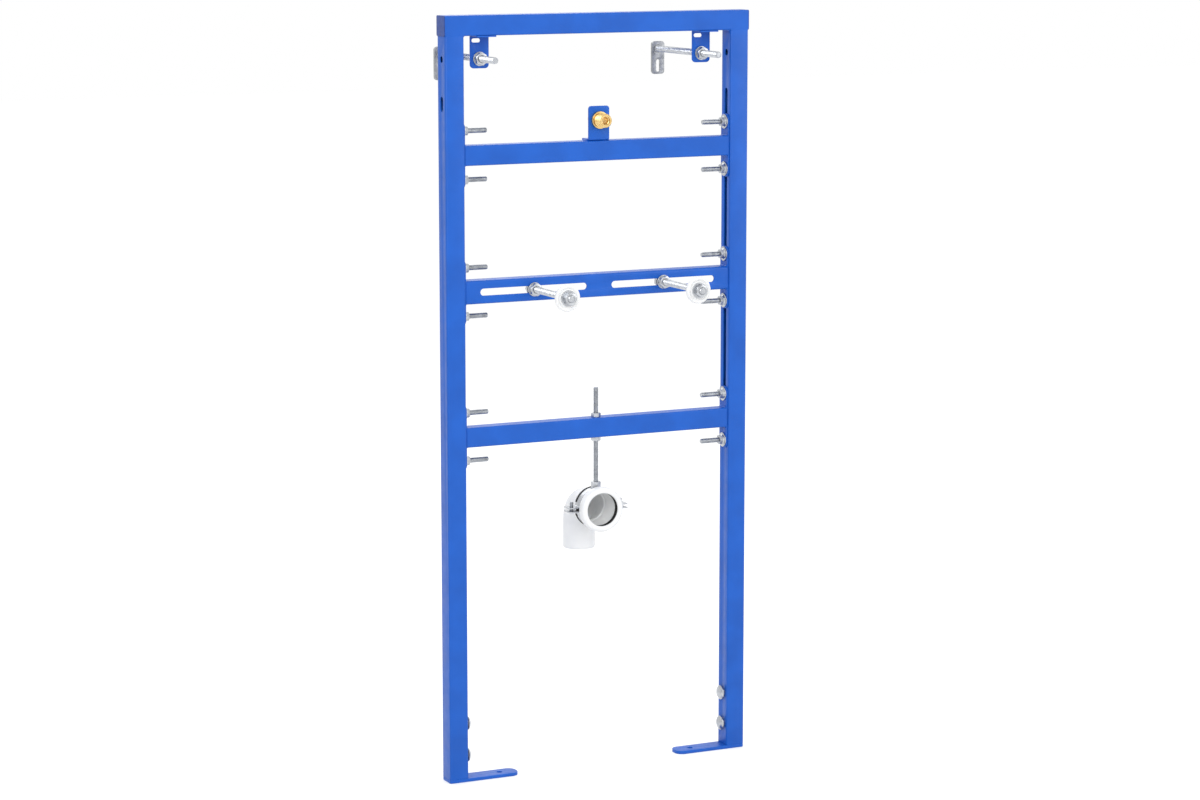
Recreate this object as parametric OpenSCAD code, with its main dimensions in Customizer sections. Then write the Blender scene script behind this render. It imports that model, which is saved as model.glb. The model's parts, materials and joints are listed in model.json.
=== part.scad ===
// Height-adjustable steel support frame that carries a wash basin, its waste elbow
// and its water inlet in front of a wall.
// X runs from the left upright to the right one, the front faces -Y, Z is up.
// The origin is on the sole of the left foot, under the axis of the left upright.

/* [Frame] */
// Height from the soles to the top of the rail
frame_h = 1150; // [1000:10:1400]
// Width across the outer faces of the uprights
frame_w = 500; // [450:10:800]
// Side of the square tube
tube = 30; // [28:1:36]
// Wall of the square tube
tube_wall = 2; // [1.5:0.1:2.5]
// Outer corner radius of the square tube
tube_r = 2.6; // [2.6:0.1:4]
// Thickness of the cap plates on the rail ends
cap_t = 1; // [0.8:0.1:3]
// How far the cap plugs reach into the rail
cap_plug = 14; // [8:1:30]

/* [Holes in the uprights] */
// Distance of the round side hole below the top of the frame
side_hole_drop = 64; // [45:1:90]
// Diameter of the round side hole
side_hole_d = 10; // [6:0.5:14]
// Distance of the oblong side hole's middle below the top of the frame
side_slot_drop = 129; // [110:1:150]
// Length of the oblong side hole
side_slot_l = 22; // [16:1:30]
// Width of the oblong side hole
side_slot_w = 10; // [6:0.5:12]
// Distance of the adjusting slot's upper end below the top of the frame
slot_top_drop = 118; // [100:1:155]
// Distance of the adjusting slot's lower end below the top of the frame
slot_end_drop = 672; // [670:1:720]
// Width of the long adjusting slot
slot_w = 9.5; // [9:0.5:12]

/* [Feet] */
// Thickness of the foot plates
foot_t = 5; // [3:0.5:10]
// Length of a foot plate from the outer face of its upright
foot_l = 115; // [90:5:160]
// Corner radius of the free end of a foot plate
foot_r = 12; // [4:1:13]
// Corner radius of the foot plate under the upright
heel_r = 3; // [1:0.5:8]
// Side of the square stem inside the upright
stem = 25; // [18:1:26]
// Height of the top of the stem above the floor
stem_top = 130; // [110:5:200]
// Play between the stem and the tube that it fits
stem_play = 0.5; // [0.2:0.1:1]
// Height of the lower foot bolt
foot_bolt_low = 39; // [25:1:50]
// Height of the upper foot bolt
foot_bolt_high = 88; // [70:1:100]
// Diameter of the domed bolt heads on the feet
dome_d = 22; // [16:1:24]
// Height of a domed bolt head
dome_h = 6; // [4:0.5:8]
// Height of the straight rim of a domed bolt head
dome_rim = 1.5; // [0.5:0.5:3]
// Diameter of the collar behind a domed bolt head
collar_d = 14; // [11:1:15]
// Height of the collar behind a domed bolt head
collar_h = 3; // [1:0.5:5]
// Diameter of the floor anchor hole
anchor_d = 9; // [6:0.5:12]
// Distance of the anchor hole from the free end
anchor_in = 28; // [18:1:40]

/* [Crossbars] */
// Distance of the upper bar's middle line below the top of the frame
upper_drop = 205; // [195:0.5:220]
// Distance of the middle bar's middle line below the top of the frame
middle_drop = 407.5; // [370:0.5:450]
// Distance of the lower bar's middle line below the top of the frame
lower_drop = 624.5; // [590:0.5:625]
// Depth of the crossbars from front to back
bar_d = 25; // [22:0.5:28]
// Height of the upper and lower bars
bar_h = 30; // [20:0.5:40]
// Height of the middle bar's channel
channel_h = 35; // [28:1:44]
// Sheet thickness of the channel
channel_t = 3; // [2:0.5:4]
// Height of the two slots in the channel's web
web_slot_h = 10.5; // [10.5:0.1:12]
// Distance from the middle of the bar to the near end of a web slot
web_slot_in = 20.5; // [12:0.5:40]
// Distance from the far end of a web slot to the end of the bar
web_slot_end = 23; // [16:0.5:40]
// Height of an end plate
plate_h = 96; // [92:1:110]
// Width of an end plate
plate_w = 24; // [22:1:26]
// Thickness of an end plate
plate_t = 2; // [1.5:0.5:4]
// Corner radius of an end plate
plate_r = 8; // [3:1:10]

/* [Slot bolts] */
// Distance from the bar's middle line to its bolts
bolt_up = 36; // [32:0.5:36]
// Diameter of the slot bolts and foot bolts
bolt_d = 8; // [6:0.5:8]
// How far a slot bolt stands out past the upright's inner face
bolt_out = 41; // [25:1:60]
// Size across flats of the nuts on the slot bolts and the hanger rod
bolt_af = 13; // [12:0.5:14]
// Height of a nut on a slot bolt or the hanger rod
bolt_nut_h = 6.5; // [5:0.5:8]
// Diameter of the washer on a slot bolt
bolt_washer_d = 22; // [17:1:22]
// Thickness of the washer on a slot bolt
bolt_washer_t = 1.6; // [1:0.1:3]
// Length of the bolt head inside the tube
head_l = 18; // [13:1:20]
// Width of the bolt head inside the tube
head_w = 13; // [11:1:15]
// Thickness of the bolt head inside the tube
head_t = 5; // [3:0.5:7]
// Radial play of nuts and washers on their rods
play = 0.1; // [0.05:0.05:0.3]
// Radial play of bolts in plain holes
hole_play = 0.5; // [0.2:0.1:1]

/* [Wall fixings] */
// Distance of a wall rod's axis from the inner face of its upright
wall_in = 36.5; // [24:0.5:60]
// Distance of the wall rods below the rail
wall_rod_drop = 35; // [26:0.5:36]
// Diameter of the wall rods
wall_rod_d = 10; // [8:0.5:12]
// How far a wall rod stands out in front of the frame
wall_rod_front = 30; // [15:1:60]
// Distance from the frame's front to the wall plates
wall_gap = 172; // [120:1:220]
// Width of a wall bracket
wall_bracket_w = 30; // [26:1:40]
// Height of a wall bracket's rear leg below the rail
wall_bracket_h = 49; // [47:1:60]
// Sheet thickness of a wall bracket
wall_bracket_t = 2; // [1.5:0.5:4]
// Radius of the lower corners of a wall bracket
wall_bracket_r = 6; // [2:0.5:10]
// Length of the small oblong hole in a wall bracket
bracket_slot_l = 14; // [8:0.5:16]
// Height of the small oblong hole in a wall bracket
bracket_slot_h = 6; // [4:0.5:7]
// Distance of the small oblong hole below the rail
bracket_slot_down = 8; // [6:0.5:12]
// How far the small oblong hole lies to the right of the rod
bracket_slot_side = 5.5; // [0:0.5:6]
// Width of a wall plate
wall_plate_w = 21.5; // [18:0.5:30]
// Height of a wall plate
wall_plate_h = 51; // [46:1:70]
// Thickness of a wall plate
wall_plate_t = 4.5; // [3:0.5:8]
// Corner radius of a wall plate
wall_plate_r = 5; // [2:0.5:8]
// Distance from the rod to the top of its wall plate
wall_plate_up = 11.5; // [9:0.5:14]
// Length of the slot in a wall plate
wall_slot_l = 19.5; // [12:0.5:20]
// Width of the slot in a wall plate
wall_slot_w = 6.6; // [5:0.1:8]
// Distance from the slot's lower end to the plate's lower edge
wall_slot_edge = 3.5; // [3:0.5:5]

/* [Nuts of the large rods] */
// Size across flats of the nuts on the wall rods and studs
big_af = 17; // [16:0.5:19]
// Height of the nuts on the wall rods and studs
big_nut_h = 8; // [6:0.5:9]
// Diameter of the washers on the wall rods and studs
big_washer_d = 21; // [20:0.5:24]
// Thickness of the washers on the wall rods and studs
big_washer_t = 2; // [1:0.5:3]

/* [Water inlet] */
// Width of the inlet bracket
inlet_w = 34; // [32:1:50]
// Height of the inlet bracket above the upper bar
inlet_h = 52; // [48:1:70]
// Sheet thickness of the inlet bracket
inlet_t = 3; // [2:0.5:4]
// Corner radius of the inlet bracket
inlet_r = 4.5; // [2:0.5:8]
// How far the inlet bracket lies behind the upper bar's front
inlet_back = 1; // [0:0.5:6]
// Height of the fitting's axis above the upper bar
inlet_up = 31; // [26:1:40]
// Outer diameter of the fitting's thread
inlet_d = 20.9; // [18:0.1:26]
// Bore of the fitting
inlet_bore = 13; // [8:0.5:14]
// Diameter of the fitting's flange
inlet_flange_d = 26; // [24:0.5:34]
// Thickness of the fitting's flange
inlet_flange_t = 5; // [3:0.5:8]
// How far the fitting stands out in front of its bracket
inlet_front = 24; // [16:0.5:40]
// Outer diameter of the fitting's plain tail
inlet_tail_d = 16; // [15:0.5:20]
// Length of the fitting's plain tail behind the lock nut
inlet_tail = 14; // [8:0.5:30]
// Size across flats of the lock nut
lock_af = 27; // [26:0.5:34]
// Height of the lock nut
lock_h = 6; // [4:0.5:9]

/* [Basin studs] */
// Distance of a basin stud from the middle of the frame
stud_x = 107.5; // [70:0.5:150]
// Diameter of the basin studs
stud_d = 10; // [8:0.5:10]
// How far a basin stud stands out in front of the frame
stud_front = 129; // [90:1:180]
// How far a basin stud reaches behind the channel's web
stud_rear = 16; // [12:0.5:22]
// Diameter of the plastic disc on a stud
disc_d = 40; // [30:1:50]
// Thickness of the plastic disc
disc_t = 7; // [4:0.5:12]
// Distance from the stud's tip to the front of its end nut
tip_in = 2.5; // [0:0.5:20]
// Diameter of the steel washer on the disc
disc_washer_d = 24; // [21:0.5:30]

/* [Waste hanger] */
// Diameter of the hanger rod
hanger_d = 8; // [6:0.5:10]
// How far the hanger rod stands out above the lower bar
hanger_up = 45.5; // [24:0.5:80]
// Distance from the bottom of the lower bar to the elbow's axis
hanger_drop = 109.5; // [90:0.5:150]
// Width of the pipe clamp
clamp_w = 20; // [14:1:24]
// Sheet thickness of the pipe clamp
clamp_t = 2; // [1.5:0.5:3]
// Thickness of the rubber lining
lining_t = 1.5; // [1:0.5:4]
// Gap between the two halves of the clamp
clamp_gap = 4; // [1:0.5:6]
// Reach of the clamp's ears from the elbow's axis
ear_reach = 49; // [47:1:60]
// Distance of the clamp screws from the elbow's axis
ear_screw = 41; // [40.5:0.5:44]
// Diameter of the clamp screws
ear_screw_d = 6; // [4:0.5:6]
// Diameter of the clamp screws' flat heads
ear_head_d = 10; // [8:0.5:12]
// Height of the clamp screws' flat heads
ear_head_h = 1.2; // [0.8:0.1:3]
// How far the clamp screws stand out above the upper ears
ear_screw_up = 7.5; // [3:0.5:12]
// Height of the hexagonal boss on the clamp
boss_h = 9.5; // [6:0.5:16]
// Size across flats of the boss
boss_af = 13; // [12:0.5:18]

/* [Waste elbow] */
// Outer diameter of the waste pipe that fits the elbow
pipe_d = 50; // [40:1:60]
// Radial play of the pipe in the elbow's socket
pipe_play = 0.2; // [0.1:0.1:0.5]
// Wall of the elbow
elbow_wall = 2; // [1.5:0.1:3]
// Distance from the frame's front to the socket's mouth
elbow_front = 11; // [4:1:30]
// Depth of the socket
socket_l = 46; // [42:1:60]
// Outer diameter of the lip round the socket's mouth
lip_d = 69; // [66:1:80]
// Length of the lip
lip_l = 15; // [8:1:15]
// Wall of the lip
lip_wall = 2.5; // [2:0.5:4]
// Radius of the elbow's bend at its middle line
bend_r = 30; // [28:1:60]
// Straight length between the socket and the bend
bend_lead = 10; // [4:1:20]
// Distance from the elbow's axis down to the spigot's end
spigot_drop = 72; // [60:1:120]
// Chamfer at the spigot's end
spigot_bevel = 1; // [0.5:0.1:1.5]

/* [Hidden] */
$fn = 48;
// Extra reach of a cutting shape past the face that it cuts
cut = 1;
paint_blue = [0.06, 0.36, 0.75];
cap_navy = [0.02, 0.2, 0.5];
zinc = [0.66, 0.67, 0.68];
galvanised = [0.6, 0.62, 0.63];
brass_gold = [0.85, 0.72, 0.42];
white_plastic = [0.92, 0.93, 0.94];
black_rubber = [0.06, 0.06, 0.06];
front_y = -tube / 2;
mid_x = (frame_w - tube) / 2;
rail_z = frame_h - tube;
inner_x = tube / 2;
side_hole_z = frame_h - side_hole_drop;
side_slot_z = frame_h - side_slot_drop;
slot_high = frame_h - slot_top_drop;
slot_low = frame_h - slot_end_drop;
upper_z = frame_h - upper_drop;
middle_z = frame_h - middle_drop;
lower_z = frame_h - lower_drop;
bar_l = frame_w - 2 * tube - 2 * plate_t;
tube_inner = tube - 2 * tube_wall;
stem_side = min(stem, tube_inner - 2 * stem_play);
web_y = -bar_d / 2;
web_rear = web_y + channel_t;
web_slot_out = bar_l / 2 - web_slot_end;
wall_x = mid_x - inner_x - wall_in;
wall_rod_z = rail_z - wall_rod_drop;
leg_front = tube / 2 - wall_bracket_t;
wall_y = front_y + wall_gap;
upper_top = upper_z + bar_h / 2;
inlet_y = inlet_back - bar_d / 2;
elbow_z = lower_z - bar_h / 2 - hanger_drop;
mouth_y = front_y - elbow_front;
socket_r = pipe_d / 2 + pipe_play;
socket_out = socket_r + elbow_wall;
lining_out = socket_out + lining_t;
band_out = lining_out + clamp_t;
groove_r = lip_d / 2 - lip_wall;
spigot_in = pipe_d / 2 - elbow_wall;
boss_z = elbow_z + band_out;

// Everything modelled for the left side, or its mirror image on the right side
module on_side(left) {
    if (left) {
        children();
    } else {
        translate([2 * mid_x, 0, 0])
            mirror([1, 0, 0])
                children();
    }
}

module rounded_rect(w, h, r) {
    square([w - 2 * r, h], center = true);
    square([w, h - 2 * r], center = true);
    for (x = [-1, 1], y = [-1, 1])
        translate([x * (w / 2 - r), y * (h / 2 - r)])
            circle(r = r);
}

module tube_section(w, h, wall, r) {
    difference() {
        rounded_rect(w, h, r);
        rounded_rect(w - 2 * wall, h - 2 * wall, r - wall);
    }
}

// Level strip from one x to another, its middle line at y = 0
module strip(x0, x1, w) {
    translate([x0, -w / 2])
        square([x1 - x0, w]);
}

// Round rod along X, Y or Z that starts at the given point
module rod_x(x, y, z, d, l) {
    translate([x, y, z])
        rotate([0, 90, 0])
            cylinder(d = d, h = l);
}

module rod_to_front(x, y, z, d, l) {
    translate([x, y, z])
        rotate([90, 0, 0])
            cylinder(d = d, h = l);
}

// Upright slot with round ends, cut through a wall that faces X
module slot_through_x(x, z_mid, l, w, depth) {
    for (s = [-1, 1])
        rod_x(x - depth / 2, 0, z_mid + s * (l - w) / 2, w, depth);
    translate([x, 0, z_mid])
        cube([depth, w, l - w], center = true);
}

// Level slot with round ends, cut through a wall that faces Y
module slot_level(x_mid, y, z, l, h, depth) {
    for (s = [-1, 1])
        rod_to_front(x_mid + s * (l - h) / 2, y + depth / 2, z, h, depth);
    translate([x_mid, y, z])
        cube([l - h, depth, h], center = true);
}

// Upright slot with round ends, cut through a wall that faces Y
module slot_upright(x, y, z_mid, l, w, depth) {
    for (s = [-1, 1])
        rod_to_front(x, y + depth / 2, z_mid + s * (l - w) / 2, w, depth);
    translate([x, y, z_mid])
        cube([w, depth, l - w], center = true);
}

// Hexagonal nut, its face at z = 0
module nut(d, af, h) {
    difference() {
        cylinder(d = af / cos(30), h = h, $fn = 6);
        translate([0, 0, -cut])
            cylinder(d = d + 2 * play, h = h + 2 * cut);
    }
}

// Hexagonal nut on a washer, the washer's face at z = 0
module washer_nut(d, af, nut_h, washer_d, washer_t) {
    difference() {
        union() {
            cylinder(d = washer_d, h = washer_t);
            cylinder(d = af / cos(30), h = washer_t + nut_h, $fn = 6);
        }
        translate([0, 0, -cut])
            cylinder(d = d + 2 * play, h = washer_t + nut_h + 2 * cut);
    }
}

module upright(left) {
    color(paint_blue)
        on_side(left)
            difference() {
                translate([0, 0, foot_t])
                    linear_extrude(rail_z - foot_t)
                        tube_section(tube, tube, tube_wall, tube_r);
                rod_x(-tube / 2 - cut, 0, side_hole_z, side_hole_d, tube + 2 * cut);
                slot_through_x((tube_wall - tube) / 2, side_slot_z, side_slot_l, side_slot_w,
                    tube_wall + cut);
                slot_through_x((tube - tube_wall) / 2, (slot_low + slot_high) / 2,
                    slot_high - slot_low, slot_w, tube_wall + cut);
                for (z = [foot_bolt_low, foot_bolt_high])
                    rod_x(0, 0, z, bolt_d + 2 * hole_play, tube);
            }
}

module top_rail() {
    color(paint_blue)
        translate([-tube / 2, 0, rail_z + tube / 2])
            rotate([0, 90, 0])
                linear_extrude(frame_w)
                    tube_section(tube, tube, tube_wall, tube_r);
}

module end_caps() {
    plug = tube_inner - 2 * stem_play;
    color(cap_navy)
        for (left = [true, false])
            on_side(left) {
                translate([-tube / 2 - cap_t, 0, rail_z + tube / 2])
                    rotate([0, 90, 0])
                        linear_extrude(cap_t)
                            rounded_rect(tube, tube, tube_r);
                translate([(cap_plug - tube) / 2, 0, rail_z + tube / 2])
                    cube([cap_plug, plug, plug], center = true);
            }
}

// Outline of a foot plate, its free end to the right
module foot_outline() {
    heel = -tube / 2;
    toe = foot_l - tube / 2;
    strip(heel + heel_r, toe - foot_r, tube);
    strip(heel, 0, tube - 2 * heel_r);
    strip(0, toe, tube - 2 * foot_r);
    for (s = [-1, 1]) {
        translate([heel + heel_r, s * (tube / 2 - heel_r)])
            circle(r = heel_r);
        translate([toe - foot_r, s * (tube / 2 - foot_r)])
            circle(r = foot_r);
    }
}

// Plate on the floor with a square stem that stands in the upright
module foot(left) {
    color(paint_blue)
        on_side(left)
            difference() {
                union() {
                    linear_extrude(foot_t)
                        foot_outline();
                    linear_extrude(stem_top)
                        tube_section(stem_side, stem_side, tube_wall, tube_r);
                }
                translate([foot_l - tube / 2 - anchor_in, 0, -cut])
                    cylinder(d = anchor_d, h = foot_t + 2 * cut);
                for (z = [foot_bolt_low, foot_bolt_high])
                    rod_x(0, 0, z, bolt_d + 2 * hole_play, tube);
            }
}

// Round head with a straight rim and a domed top, its flat face at x = 0
module domed_head() {
    dome = dome_h - dome_rim;
    sphere_r = (dome_d * dome_d / 4 + dome * dome) / (2 * dome);
    rotate([0, 90, 0])
        rotate_extrude() {
            square([dome_d / 2, dome_rim]);
            intersection() {
                translate([0, dome_h - sphere_r])
                    circle(r = sphere_r);
                square([dome_d / 2, dome_h]);
            }
        }
}

// Screws with domed heads that clamp the stems in the uprights
module foot_bolts() {
    color(zinc)
        for (left = [true, false])
            on_side(left)
                for (z = [foot_bolt_low, foot_bolt_high]) {
                    rod_x(inner_x - 2 * tube_wall - stem_play - head_t, 0, z, bolt_d,
                        head_t + 2 * tube_wall + stem_play + collar_h);
                    rod_x(inner_x, 0, z, collar_d, collar_h);
                    translate([inner_x + collar_h, 0, z])
                        domed_head();
                }
}

// Angle under the rail whose rear leg holds a wall rod
module wall_bracket(left) {
    leg_z = rail_z - wall_bracket_h;
    color(paint_blue)
        translate([left ? mid_x - wall_x : mid_x + wall_x, 0, 0])
            difference() {
                union() {
                    translate([-wall_bracket_w / 2, -tube / 2, rail_z - wall_bracket_t])
                        cube([wall_bracket_w, tube, wall_bracket_t]);
                    translate([-wall_bracket_w / 2, leg_front, leg_z + wall_bracket_r])
                        cube([wall_bracket_w, wall_bracket_t, wall_bracket_h - wall_bracket_r]);
                    translate([wall_bracket_r - wall_bracket_w / 2, leg_front, leg_z])
                        cube([wall_bracket_w - 2 * wall_bracket_r, wall_bracket_t,
                            wall_bracket_h]);
                    for (s = [-1, 1])
                        rod_to_front(s * (wall_bracket_w / 2 - wall_bracket_r), tube / 2,
                            leg_z + wall_bracket_r, 2 * wall_bracket_r, wall_bracket_t);
                }
                rod_to_front(0, tube / 2 + cut, wall_rod_z, wall_rod_d + 2 * hole_play,
                    wall_bracket_t + 2 * cut);
                slot_level(bracket_slot_side, leg_front + wall_bracket_t / 2,
                    rail_z - bracket_slot_down, bracket_slot_l, bracket_slot_h,
                    wall_bracket_t + 2 * cut);
            }
}

module wall_rod(left) {
    color(zinc)
        rod_to_front(left ? mid_x - wall_x : mid_x + wall_x, wall_y, wall_rod_z, wall_rod_d,
            wall_gap + wall_rod_front);
}

module wall_rod_nuts() {
    color(zinc)
        for (x = [mid_x - wall_x, mid_x + wall_x]) {
            translate([x, leg_front, wall_rod_z])
                rotate([90, 0, 0])
                    washer_nut(wall_rod_d, big_af, big_nut_h, big_washer_d, big_washer_t);
            translate([x, tube / 2, wall_rod_z])
                rotate([-90, 0, 0])
                    washer_nut(wall_rod_d, big_af, big_nut_h, big_washer_d, big_washer_t);
        }
}

// Slotted plate on the rod's end that is screwed to the wall
module wall_plate(left) {
    top = wall_rod_z + wall_plate_up;
    color(galvanised)
        translate([left ? mid_x - wall_x : mid_x + wall_x, 0, 0])
            difference() {
                translate([0, wall_y + wall_plate_t, top - wall_plate_h / 2])
                    rotate([90, 0, 0])
                        linear_extrude(wall_plate_t)
                            rounded_rect(wall_plate_w, wall_plate_h, wall_plate_r);
                slot_upright(0, wall_y + wall_plate_t / 2,
                    top - wall_plate_h + wall_slot_edge + wall_slot_l / 2, wall_slot_l,
                    wall_slot_w, wall_plate_t + 2 * cut);
            }
}

module tube_bar(z) {
    color(paint_blue)
        translate([mid_x - bar_l / 2, 0, z])
            rotate([0, 90, 0])
                linear_extrude(bar_l)
                    tube_section(bar_h, bar_d, tube_wall, tube_r);
}

module middle_bar() {
    color(paint_blue)
        difference() {
            translate([mid_x - bar_l / 2, web_y, middle_z - channel_h / 2])
                cube([bar_l, bar_d, channel_h]);
            translate([mid_x - bar_l / 2 - cut, web_rear, middle_z - channel_h / 2 + channel_t])
                cube([bar_l + 2 * cut, bar_d, channel_h - 2 * channel_t]);
            for (s = [-1, 1])
                slot_level(mid_x + s * (web_slot_in + web_slot_out) / 2, web_y + channel_t / 2,
                    middle_z, web_slot_out - web_slot_in, web_slot_h, channel_t + 2 * cut);
        }
}

module lower_bar() {
    color(paint_blue)
        difference() {
            tube_bar(lower_z);
            translate([mid_x, 0, lower_z - bar_h])
                cylinder(d = hanger_d + 2 * hole_play, h = 2 * bar_h);
        }
}

// Plates welded to the two ends of a crossbar
module bar_plates(z) {
    color(paint_blue)
        for (left = [true, false])
            on_side(left)
                difference() {
                    translate([inner_x, 0, z])
                        rotate([0, 90, 0])
                            linear_extrude(plate_t)
                                rounded_rect(plate_h, plate_w, plate_r);
                    for (s = [-1, 1])
                        rod_x(inner_x - cut, 0, z + s * bolt_up, bolt_d + 2 * hole_play,
                            plate_t + 2 * cut);
                }
}

// Bolts that come out of the uprights' slots, their flat heads inside the tube
module bar_bolts(z) {
    color(zinc)
        for (left = [true, false], s = [-1, 1])
            on_side(left) {
                rod_x(inner_x - tube_wall - cut, 0, z + s * bolt_up, bolt_d,
                    tube_wall + cut + bolt_out);
                translate([inner_x - tube_wall - head_t / 2, 0, z + s * bolt_up])
                    cube([head_t, head_l, head_w], center = true);
            }
}

module bar_nuts(z) {
    color(zinc)
        for (left = [true, false], s = [-1, 1])
            on_side(left)
                translate([inner_x + plate_t, 0, z + s * bolt_up])
                    rotate([0, 90, 0])
                        washer_nut(bolt_d, bolt_af, bolt_nut_h, bolt_washer_d, bolt_washer_t);
}

module inlet_bracket() {
    color(paint_blue)
        difference() {
            union() {
                translate([mid_x, inlet_y + inlet_t, upper_top + inlet_h / 2])
                    rotate([90, 0, 0])
                        linear_extrude(inlet_t)
                            rounded_rect(inlet_w, inlet_h, inlet_r);
                translate([mid_x - inlet_w / 2, inlet_y, upper_top])
                    cube([inlet_w, bar_d - inlet_back, inlet_t]);
                translate([mid_x - inlet_w / 2, inlet_y, upper_top])
                    cube([inlet_w, inlet_t, 2 * inlet_r]);
            }
            rod_to_front(mid_x, inlet_y + inlet_t + cut, upper_top + inlet_up,
                inlet_d + 2 * play, inlet_t + 2 * cut);
        }
}

// Straight brass fitting with a male thread in front and a plain tail behind
module inlet_fitting() {
    z = upper_top + inlet_up;
    shoulder = inlet_y + inlet_t + lock_h;
    rear = shoulder + inlet_tail;
    tip = inlet_y - inlet_front;
    color(brass_gold)
        difference() {
            union() {
                rod_to_front(mid_x, rear, z, inlet_tail_d, rear - shoulder + cut);
                rod_to_front(mid_x, shoulder, z, inlet_d, shoulder - tip);
                rod_to_front(mid_x, inlet_y, z, inlet_flange_d, inlet_flange_t);
            }
            rod_to_front(mid_x, rear + cut, z, inlet_bore, rear - tip + 2 * cut);
        }
}

module inlet_lock_nut() {
    color(brass_gold)
        translate([mid_x, inlet_y + inlet_t, upper_top + inlet_up])
            rotate([-90, 0, 0])
                nut(inlet_d, lock_af, lock_h);
}

module basin_stud(left) {
    color(zinc)
        rod_to_front(left ? mid_x - stud_x : mid_x + stud_x, web_rear + stud_rear, middle_z,
            stud_d, web_rear + stud_rear - front_y + stud_front);
}

// Nuts before and behind the web, and the nut in front of the plastic disc
module stud_nuts(left) {
    tip = front_y - stud_front;
    color(zinc)
        translate([left ? mid_x - stud_x : mid_x + stud_x, 0, middle_z]) {
            translate([0, web_y, 0])
                rotate([90, 0, 0])
                    washer_nut(stud_d, big_af, big_nut_h, big_washer_d, big_washer_t);
            translate([0, web_rear, 0])
                rotate([-90, 0, 0])
                    washer_nut(stud_d, big_af, big_nut_h, big_washer_d, big_washer_t);
            translate([0, tip + tip_in + big_nut_h + big_washer_t, 0])
                rotate([90, 0, 0])
                    washer_nut(stud_d, big_af, big_nut_h, disc_washer_d, big_washer_t);
        }
}

module stud_disc(left) {
    face = front_y - stud_front + tip_in + big_nut_h + big_washer_t;
    color(white_plastic)
        difference() {
            rod_to_front(left ? mid_x - stud_x : mid_x + stud_x, face + disc_t, middle_z,
                disc_d, disc_t);
            rod_to_front(left ? mid_x - stud_x : mid_x + stud_x, face + disc_t + cut, middle_z,
                stud_d + 2 * play, disc_t + 2 * cut);
        }
}

module hanger_rod() {
    color(zinc)
        translate([mid_x, 0, boss_z + play])
            cylinder(d = hanger_d, h = lower_z + bar_h / 2 + hanger_up - boss_z - play);
}

module hanger_nuts() {
    color(zinc) {
        translate([mid_x, 0, lower_z + bar_h / 2])
            nut(hanger_d, bolt_af, bolt_nut_h);
        translate([mid_x, 0, lower_z - bar_h / 2 - bolt_nut_h])
            nut(hanger_d, bolt_af, bolt_nut_h);
    }
}

// Half of the steel band with its two ears, above the elbow's axis
module clamp_half() {
    difference() {
        union() {
            rod_to_front(0, clamp_w / 2, 0, 2 * band_out, clamp_w);
            translate([-ear_reach, -clamp_w / 2, clamp_gap / 2])
                cube([2 * ear_reach, clamp_w, clamp_t]);
        }
        rod_to_front(0, clamp_w / 2 + cut, 0, 2 * lining_out, clamp_w + 2 * cut);
        translate([-ear_reach - cut, -clamp_w, clamp_gap / 2 - 2 * band_out])
            cube([2 * (ear_reach + cut), 2 * clamp_w, 2 * band_out]);
        for (s = [-1, 1])
            translate([s * ear_screw, 0, -cut])
                cylinder(d = ear_screw_d + 2 * hole_play, h = clamp_gap + clamp_t + 2 * cut);
    }
}

module clamp_upper_half() {
    color(zinc)
        translate([mid_x, 0, elbow_z]) {
            clamp_half();
            difference() {
                translate([0, 0, band_out - clamp_t])
                    cylinder(d = boss_af / cos(30), h = clamp_t + boss_h, $fn = 6);
                rod_to_front(0, clamp_w, 0, 2 * lining_out, 2 * clamp_w);
                translate([0, 0, band_out])
                    cylinder(d = hanger_d + 2 * play, h = boss_h + cut);
            }
        }
}

module clamp_lower_half() {
    color(zinc)
        translate([mid_x, 0, elbow_z])
            mirror([0, 0, 1])
                clamp_half();
}

module clamp_lining() {
    color(black_rubber)
        translate([mid_x, 0, elbow_z])
            difference() {
                rod_to_front(0, clamp_w / 2, 0, 2 * lining_out, clamp_w);
                rod_to_front(0, clamp_w / 2 + cut, 0, 2 * socket_out, clamp_w + 2 * cut);
            }
}

// Screws through the ears, their flat heads below
module clamp_screws() {
    grip = clamp_gap + 2 * clamp_t;
    color(zinc)
        for (s = [-1, 1])
            translate([mid_x + s * ear_screw, 0, elbow_z]) {
                translate([0, 0, -grip / 2 - ear_head_h])
                    cylinder(d = ear_head_d, h = ear_head_h);
                translate([0, 0, -grip / 2 - ear_head_h])
                    cylinder(d = ear_screw_d, h = grip + ear_head_h + ear_screw_up);
            }
}

// The elbow's tube of a given radius, from the socket round the bend to the spigot
module elbow_core(r, reach) {
    bend_y = mouth_y + socket_l + bend_lead;
    rod_to_front(mid_x, bend_y, elbow_z, 2 * r, bend_lead + reach);
    translate([mid_x, bend_y, elbow_z - bend_r])
        rotate([0, -90, 0])
            rotate_extrude(angle = 90)
                translate([bend_r, 0])
                    circle(r = r);
    translate([mid_x, bend_y + bend_r, elbow_z - spigot_drop - reach])
        cylinder(r = r, h = spigot_drop - bend_r + reach);
}

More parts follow.
